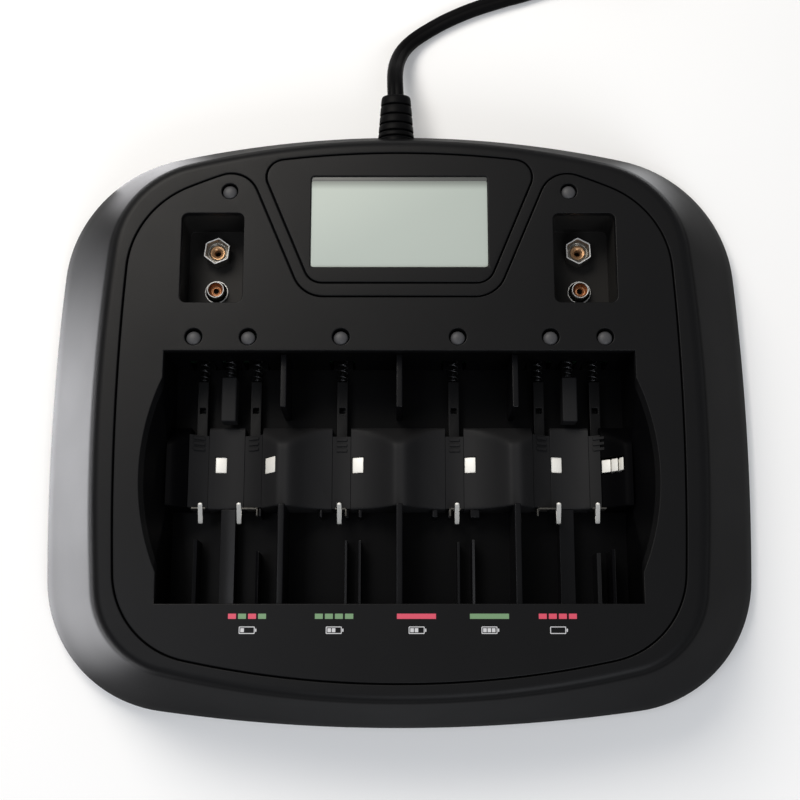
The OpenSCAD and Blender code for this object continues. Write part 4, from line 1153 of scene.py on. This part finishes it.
def bent_strip(form, middle, width, path, thick):
    """A metal strip along a path in Y and Z, with a round tip. It leans a little to the bay's middle."""
    rings = []
    crown = 0.12
    for k, here in enumerate(path):
        way = (path[min(len(path) - 1, k + 1)] - path[max(0, k - 1)]).normalized()
        normal = Vector((way.y, -way.x))
        from_tip = sum((b - a).length for a, b in zip(path[k:], path[k + 1:]))
        half = width / 2
        if from_tip < half:
            half = math.sqrt(max(0.01, half ** 2 - (half - from_tip) ** 2))
        front, back = here - normal * thick / 2, here + normal * thick / 2
        x = middle * (1 - 0.002 * (here.y - 26))
        rings.append([(x - half, *back), (x, *(back + normal * crown)), (x + half, *back),
            (x + half, *front), (x, *(front - normal * crown)), (x - half, *front)])
    form.skin(rings)


def contact(i):
    """The bent strip on the front of a slider: foot plate, side leaf and leaning blade."""
    x, b = SLOT_X[i], BLADE_X[i]
    node_name, body = f"contact_{i + 1}", f"slider_{i + 1}_body"
    foot = trough_surface(b) + 0.95
    side = math.copysign(1, b)
    front = STRIP_FRONT - LAP
    back = front - BLADE_T
    plates = Form()
    half, top = PLATE_HALF_W, foot + 1.3
    plates.box((x - half, back, foot - 4), (x + half, front, foot + 0.1))
    plates.box((min(x - half, b - 0.8), back, foot), (max(x + half, b + 0.8), front, top))
    plates.box((x - half * side, back - 2, foot - 0.6), (x - (half - BLADE_T) * side, front, top))
    plates.soften(0.12)
    plates.piece(f"contact_plate_shaded_{i + 1}", SHADED_PLATE, "contact_metal", node_name, body, even=True)
    blade = Form()
    knee_y = BLADE_FOOT_Y - 0.1
    path = [Vector(p) for p in ((front - BLADE_T / 2, foot + 0.25), (knee_y + 1.0, foot + 0.25),
        (knee_y + 0.3, foot + 0.4), (knee_y, foot + 0.9), (knee_y + 0.15, foot + 1.6))]
    start, tip = path[-1], Vector((BLADE_FOOT_Y + BLADE_LEAN - 0.25, BLADE_TOP))
    near_tip = [1 - part / 11 for part in (0.6, 0.4, 0.25, 0.12, 0.04)]
    path += [start.lerp(tip, t) for t in [k / 8 for k in range(1, 8)] + near_tip + [1.0]]
    bent_strip(blade, b, BLADE_W, path, BLADE_T)
    blade.piece(f"blade_{i + 1}", METAL, "contact_metal", node_name, body, sharp=50)


def coil_spring(name, node_name, x, z, wall_y, turns):
    """Round wire with its end turns closed, from an arm's back to a wall."""
    form = Form()
    y0, y1 = ARM_BACK + SPRING_GAP, wall_y - SPRING_GAP
    steps, sides, closed, closed_pitch = 14, 6, 0.75, 0.4
    start, end = y0 + SPRING_WIRE, y1 - SPRING_WIRE
    free_pitch = (end - start - 2 * closed_pitch * closed) / (turns - 2 * closed)
    rings = []
    for turn in [k / steps for k in range(round(turns * steps) + 1)]:
        ends = min(turn, closed) + max(0.0, turn - turns + closed)
        y = start + closed_pitch * ends + free_pitch * (turn - ends)
        out = Vector((math.cos(2 * math.pi * turn), 0, math.sin(2 * math.pi * turn)))
        centre = Vector((x, y, z)) + out * SPRING_R
        rings.append([centre + out * SPRING_WIRE * math.cos(a) + Vector((0, SPRING_WIRE * math.sin(a), 0))
            for a in [2 * math.pi * j / sides for j in range(sides)]])
    form.skin(rings)
    spring = form.piece(name, SHADED_STEEL, "spring_steel", node_name, sharp=80)
    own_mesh(spring)


def plunger(side):
    """A block that slides in an outer trough, with its spring."""
    name = "left" if side < 0 else "right"
    x = side * PLUNGER_X
    form = Form()
    form.box((x - PLUNGER_W / 2, PLUNGER_FRONT, PLUNGER_Z), (x + PLUNGER_W / 2, ARM_BACK, PLUNGER_TOP))
    form.soften(0.5, 3)
    spring_peg(form, (x, PLUNGER_SPRING_Z), [(0.85, -0.3), (0.85, 2.7), (0.55, 2.95)])
    form.piece(f"size_plunger_{name}", STRIP, "slider_plastic", f"plunger_{name}", f"plunger_{name}_body",
        even=True)
    coil_spring(f"size_spring_{name}", f"plunger_spring_{name}", x, PLUNGER_SPRING_Z, PLUNGER_SPRING_END,
        PLUNGER_SPRING_TURNS)


for i in range(6):
    slider(i)
    contact(i)
    coil_spring(f"slider_spring_{i + 1}", f"spring_{i + 1}", SLOT_X[i], SPRING_Z, SPRING_END, SPRING_TURNS)
for side in (-1, 1):
    plunger(side)


# Snap terminals, indicators, display and marks

def hexagon(centre, r, turn, z, n=48, soft=0.012):
    """A six-sided ring with slightly rounded corners."""
    out = []
    for a in [360 * k / n for k in range(n)]:
        flat = r * math.cos(math.radians(30)) / math.cos(math.radians((a - turn) % 60 - 30))
        out.append((*polar(centre, soft_min(flat, r * (1 - soft), 0.08), a), z))
    return out


def snap_piece(form, name, material, node_name, sharp=60):
    form.piece(name, material, "snap_metal", node_name, sharp=sharp)


# A black disc of painted shade that closes the bottom of a snap's hole
def shade_disc(name, at, r, z, node_name):
    form = Form()
    lathe(form, at, [(r, z - 0.1), (r, z)], 24)
    snap_piece(form, name, BORE_SHADE, node_name, 35)


def snap_pin(name, at, node_name):
    """The rivet under a snap, down to its board."""
    form = Form()
    low = RECESS_Z - CUP_WALL - 1.6
    lathe(form, at, [(1.0, low), (1.4, low + 0.25), (1.5, low + 0.6), (1.5, RECESS_Z + 0.4)], 32)
    snap_piece(form, name, SNAP, node_name, 35)


def snap_hex(side, at, turn):
    """A six-sided cup with a rolled rim painted pale as a highlight, a raised ring and a copper heart."""
    node_name = f"snap_hex_{side}"
    cup, edge, heart = Form(), Form(), Form()
    edge.skin([hexagon(at, HEX_R - e, turn, HEX_TOP - d) for e, d in ((0.1, 0.6), (0, 0.35), (0.02, 0.15),
        (0.1, 0.03), (0.2, 0), (0.32, 0.03), (0.42, 0.15), (0.45, 0.35), (0.4, 0.6))], closed=True)
    snap_piece(edge, f"snap_edge_highlight_{side}", SNAP_EDGE_HIGHLIGHT, node_name)
    wall = ((0.15, SNAP_Z), (0.15, HEX_TOP - 0.3), (0.5, HEX_TOP - 0.3), (0.68, HEX_TOP - 0.9))
    cup.skin([hexagon(at, HEX_R - e, turn, z) for e, z in wall]
        + [circle(at, r, HEX_TOP - d) for r, d in ((3.25, 1.9), (3.05, 2.15), (2.85, 2.2), (2.7, 2.05),
        (2.55, 1.95), (2.4, 2.05), (2.3, 2.4), (2.3, 4.8))])
    snap_piece(cup, f"snap_cup_{side}", SNAP, node_name)
    lathe(heart, at, [(2.28, -2.6), (2.2, -2.3), (1.7, -2.35), (1.15, -2.7), (0.95, -3.1), (0.85, -4.7),
        (2.28, -4.7)], zero=HEX_TOP, closed=True)
    snap_piece(heart, f"snap_heart_{side}", COPPER_PALE, node_name)
    snap_pin(f"snap_stem_{side}", at, node_name)
    shade_disc(f"snap_bore_shade_{side}", at, 0.84, HEX_TOP - 4.6, node_name)


def snap_round(side, at):
    """A drawn stud on a cupped flange, with rolled edges painted pale as a highlight, copper inside and a
    ring of painted shade in the gap round it.
    """
    node_name = f"snap_round_{side}"
    shell, edges, heart, gap = Form(), Form(), Form(), Form()
    flange = [(3.6, 0), (3.7, 0.15), (3.7, 0.5), (3.6, 0.62), (3.42, 0.62), (3.32, 0.5), (3.28, 0.1),
        (2.7, 0.1), (2.6, 0.5)]
    stud = [(2.6, 1.6), (2.66, 0.5), (2.62, 0.15), (2.5, 0.0), (2.36, 0.0), (2.24, 0.15), (2.2, 0.4),
        (2.2, 2.75)]
    lathe(shell, at, [(r, SNAP_Z + z) for r, z in flange] + [(r, STUD_TOP - d) for r, d in stud])
    snap_piece(shell, f"snap_stud_{side}", SNAP, node_name)
    lathe(edges, at, [(3.71, 0.45), (3.68, 0.6), (3.55, 0.68), (3.42, 0.66), (3.36, 0.5)], zero=SNAP_Z,
        closed=True)
    lathe(edges, at, [(2.67, -0.3), (2.66, -0.08), (2.55, 0.04), (2.43, 0.04), (2.3, -0.08), (2.28, -0.3)],
        zero=STUD_TOP, closed=True)
    snap_piece(edges, f"snap_brim_highlight_{side}", SNAP_EDGE_HIGHLIGHT, node_name)
    lathe(heart, at, [(2.19, -0.45), (2.12, -1.0), (1.9, -1.6), (1.55, -1.9), (1.3, -1.92), (1.1, -1.75),
        (0.95, -1.75), (0.85, -2.0), (0.8, -2.7), (2.19, -2.7)], zero=STUD_TOP, closed=True)
    snap_piece(heart, f"snap_lining_{side}", COPPER, node_name)
    lathe(gap, at, [(3.27, 0.12), (3.27, 0.3), (2.68, 0.3), (2.68, 0.12)], zero=SNAP_Z, closed=True)
    snap_piece(gap, f"snap_gap_shade_{side}", BORE_SHADE, node_name, 35)
    snap_pin(f"snap_tail_{side}", at, node_name)
    shade_disc(f"snap_well_shade_{side}", at, 0.79, STUD_TOP - 2.6, node_name)


def light_pipe(k):
    """A clear rod with a domed, slightly sunken lens."""
    at, at_recess = lens_place(k)
    low = (LCD_Z - 2 if at_recess else LENS_LOW) + LAP - DECK_Z
    r = LENS_D / 2
    form = Form()
    lathe(form, at, [(r - 0.3, low), (r, low + 0.3), (r, -1.1), (r - 0.06, -0.75), (r - 0.25, -0.42),
        (r - 0.6, -0.14), (r - 1.1, 0.06), (r - 1.6, 0.16), (0.2, 0.19)], 40, DECK_Z)
    form.piece(f"lens_{k + 1}", LENS, "lens_plastic", f"light_pipe_{k + 1}", sharp=60)


def display():
    """The display: its panel, the pane that stands up in the window and, behind it, a grey strip of painted
    shade under the window's back wall.
    """
    rim, face = Form(), Form()
    low, high = (-WINDOW_HALF_W + LAP, WINDOW_FRONT + LAP), (WINDOW_HALF_W - LAP, WINDOW_BACK - LAP)
    strip_y = WINDOW_BACK - 1.5
    rim.box((low[0], strip_y, LCD_TOP - LAP), (*high, PANE_TOP + LAP))
    rim.soften(0.15)
    rim.piece("display_back_shade", BACK_SHADE_STRIP, "lcd", "lcd_panel")
    face.box((-LCD_HALF_W, LCD_FRONT, LCD_Z), (LCD_HALF_W, LCD_BACK, LCD_TOP))
    face.skin([[(x, y, z) for x, y in rounded_rect(low, (high[0], strip_y + 0.3), 0.9, 5)]
        for z in (LCD_TOP - LAP, PANE_TOP)])
    face.soften(0.1, 2, 60)
    face.piece("display_face", GLASS, "lcd", "lcd_panel")


def print_box(form, x0, y0, x1, y1, r=0.1, open_by=0.0):
    """A thin printed box on the deck. It is open inside where a line width is given."""
    loops = [rounded_rect((x0, y0), (x1, y1), r, 3)]
    if open_by:
        loops.append(rounded_rect((x0 + open_by, y0 + open_by), (x1 - open_by, y1 - open_by), r / 2, 3))
    sides = [[form.flat_ring(loop, z) for z in (DECK_Z - 0.02, DECK_Z + 0.025)] for loop in loops]
    for side in sides:
        form.walls(side)
    for level in zip(*sides):
        form.fill(*level)


def marks():
    """Coloured bars for the states of the indicators, each with a small picture of a cell and its level."""
    for colour, name, material in (("r", "bars_red", INK_RED), ("g", "bars_green", INK_GREEN)):
        form = Form()
        for left, right in [bar[1:] for bar in BARS if bar[0] == colour]:
            print_box(form, left, BAR_Y[0], right, BAR_Y[1])
        form.piece(name, material, "deck_plastic")
    form = Form()
    (w, h), edge = PICTURE_HALF, 2 * PICTURE_LINE
    for x, level in PICTURES:
        print_box(form, x - w, PICTURE_Y - h, x + w, PICTURE_Y + h, 0.25, PICTURE_LINE)
        print_box(form, x + w + 0.12, PICTURE_Y - 0.45, x + w + 0.5, PICTURE_Y + 0.45)
        for left in [x - w + edge + (LEVEL_W + PICTURE_LINE) * k for k in range(level)]:
            print_box(form, left, PICTURE_Y - h + edge, left + LEVEL_W, PICTURE_Y + h - edge)
    form.piece("pictures", INK_WHITE, "deck_plastic")


def feet():
    form = Form()
    for at in FOOT_PLACES:
        lathe(form, at, [(5.2, 0.35), (5.6, 0.02), (6.1, 0.0), (6.5, 0.12), (6.85, 0.5), (6.95, 0.9),
            (6.95, 2.5)])
    form.piece("rubber_feet", RUBBER, "foot_rubber", "feet", sharp=50)


def dress(node_name, material):
    """Gives a CAD piece its material."""
    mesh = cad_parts[node_name].data
    mesh.materials.clear()
    mesh.materials.append(material)


for k, side in enumerate(("left", "right")):
    snap_hex(side, HEX_PLACE[k], HEX_TURN[k])
    snap_round(side, STUD_PLACE[k])
for k in range(8):
    light_pipe(k)
display()
marks()
feet()

for node_name in ("display_board", "indicator_board", "main_board", "snap_board_left", "snap_board_right"):
    dress(node_name, BOARD)
dress("lcd_backlight", BACKLIGHT)
dress("transformer", TAPE)
dress("filter_capacitor", SLEEVE)
dress("screws", SCREW)


# Floor, light and camera

def floor():
    """A white floor that adds a little white of its own to what the camera and reflections see."""
    material, tree, shader = nodes_of("floor_white")
    feed(tree, shader.inputs, {"Base Color": (0.95, 0.95, 0.95, 1), "Roughness": 0.9})
    seen = node(tree, "LightPath", {})
    either = maths(tree, "MAXIMUM", seen["Is Camera Ray"], seen["Is Glossy Ray"])
    every = maths(tree, "MAXIMUM", either, seen["Is Transmission Ray"])
    glow = node(tree, "Emission", {"Color": (1, 1, 1, 1)})["Emission"]
    mix = node(tree, "MixShader", {"Fac": maths(tree, "MULTIPLY", every, FLOOR_GLOW),
        1: shader.outputs["BSDF"], 2: glow})
    tree.links.new(mix["Shader"], tree.nodes["Material Output"].inputs["Surface"])
    mesh = bpy.data.meshes.new("floor")
    mesh.from_pydata([(-4, -4, 0), (4, -4, 0), (4, 4, 0), (-4, 4, 0)], [], [(0, 1, 2, 3)])
    mesh.materials.append(material)
    ground = bpy.data.objects.new("floor", mesh)
    bpy.context.scene.collection.objects.link(ground)


def softbox(name, place, target, size, power, colour):
    """A rectangular lamp that faces its target. Places are in metres, the power in watts."""
    data = bpy.data.lights.new(name, "AREA")
    data.shape = "RECTANGLE"
    data.size, data.size_y = size
    data.energy = power
    data.color = colour
    lamp = bpy.data.objects.new(name, data)
    lamp.location = place
    lamp.rotation_mode = "QUATERNION"
    lamp.rotation_quaternion = (Vector(target) - Vector(place)).to_track_quat("-Z", "Y")
    bpy.context.scene.collection.objects.link(lamp)
    return lamp


def card(name, place, size, power, colour):
    """A softly bounded light on the floor that only the skirt above it sees."""
    lamp = softbox(name, place, (place[0], place[1], 1), size, power, colour)
    lamp.rotation_quaternion = (0, 1, 0, 0)
    lamp.visible_camera = False
    lamp.data.use_nodes = True
    tree = lamp.data.node_tree
    axes = node(tree, "SeparateXYZ", {"Vector": node(tree, "NewGeometry", {})["Parametric"]})
    fades = []
    for axis in ("X", "Y"):
        away = maths(tree, "ABSOLUTE", maths(tree, "SUBTRACT", axes[axis], 0.5))
        fades.append(node(tree, "MapRange", {"From Min": 0.5, "From Max": 0.2, "Value": away},
            interpolation_type="SMOOTHSTEP")["Result"])
    tree.links.new(maths(tree, "MULTIPLY", *fades), tree.nodes["Emission"].inputs["Strength"])


FLOOR_GLOW = 0.12
DECK_MIDDLE = (0, 0, 0.02)
floor()
softbox("key", (-0.28, 0.42, 0.62), DECK_MIDDLE, (0.38, 0.38), 4.6, (1.0, 0.95, 0.88))
softbox("front", (0.25, -0.75, 0.75), DECK_MIDDLE, (0.5, 0.5), 3.6, (0.92, 0.95, 1.0))
softbox("left", (-0.3, -0.1, 0.7), (-0.1, -0.08, 0.038), (0.22, 0.22), 0.7, (0.92, 0.94, 1.0))
card("low_left", (-0.152, -0.052, 0.0015), (0.11, 0.27), 2.6, (0.97, 0.97, 1.0))
card("low_back_left", (-0.098, 0.092, 0.0015), (0.07, 0.07), 0.11, (0.98, 0.97, 1.0))
card("low_back_right", (0.108, 0.118, 0.0015), (0.07, 0.07), 0.1, (0.97, 0.98, 1.0))

scene = bpy.context.scene
scene.world = bpy.data.worlds.new("studio")
scene.world.use_nodes = True
tree = scene.world.node_tree
feed(tree, tree.nodes["Background"].inputs, {"Color": (0.93, 0.96, 1.0, 1), "Strength": 0.3})
scene.view_settings.view_transform = "Standard"

camera_data = bpy.data.cameras.new("camera")
camera_data.sensor_width = 36
camera_data.lens = CAMERA_LENS
scene.camera = bpy.data.objects.new("camera", camera_data)
scene.camera.location = CAMERA_PLACE
scene.camera.rotation_euler = (math.radians(CAMERA_TILT), 0, 0)
scene.collection.objects.link(scene.camera)
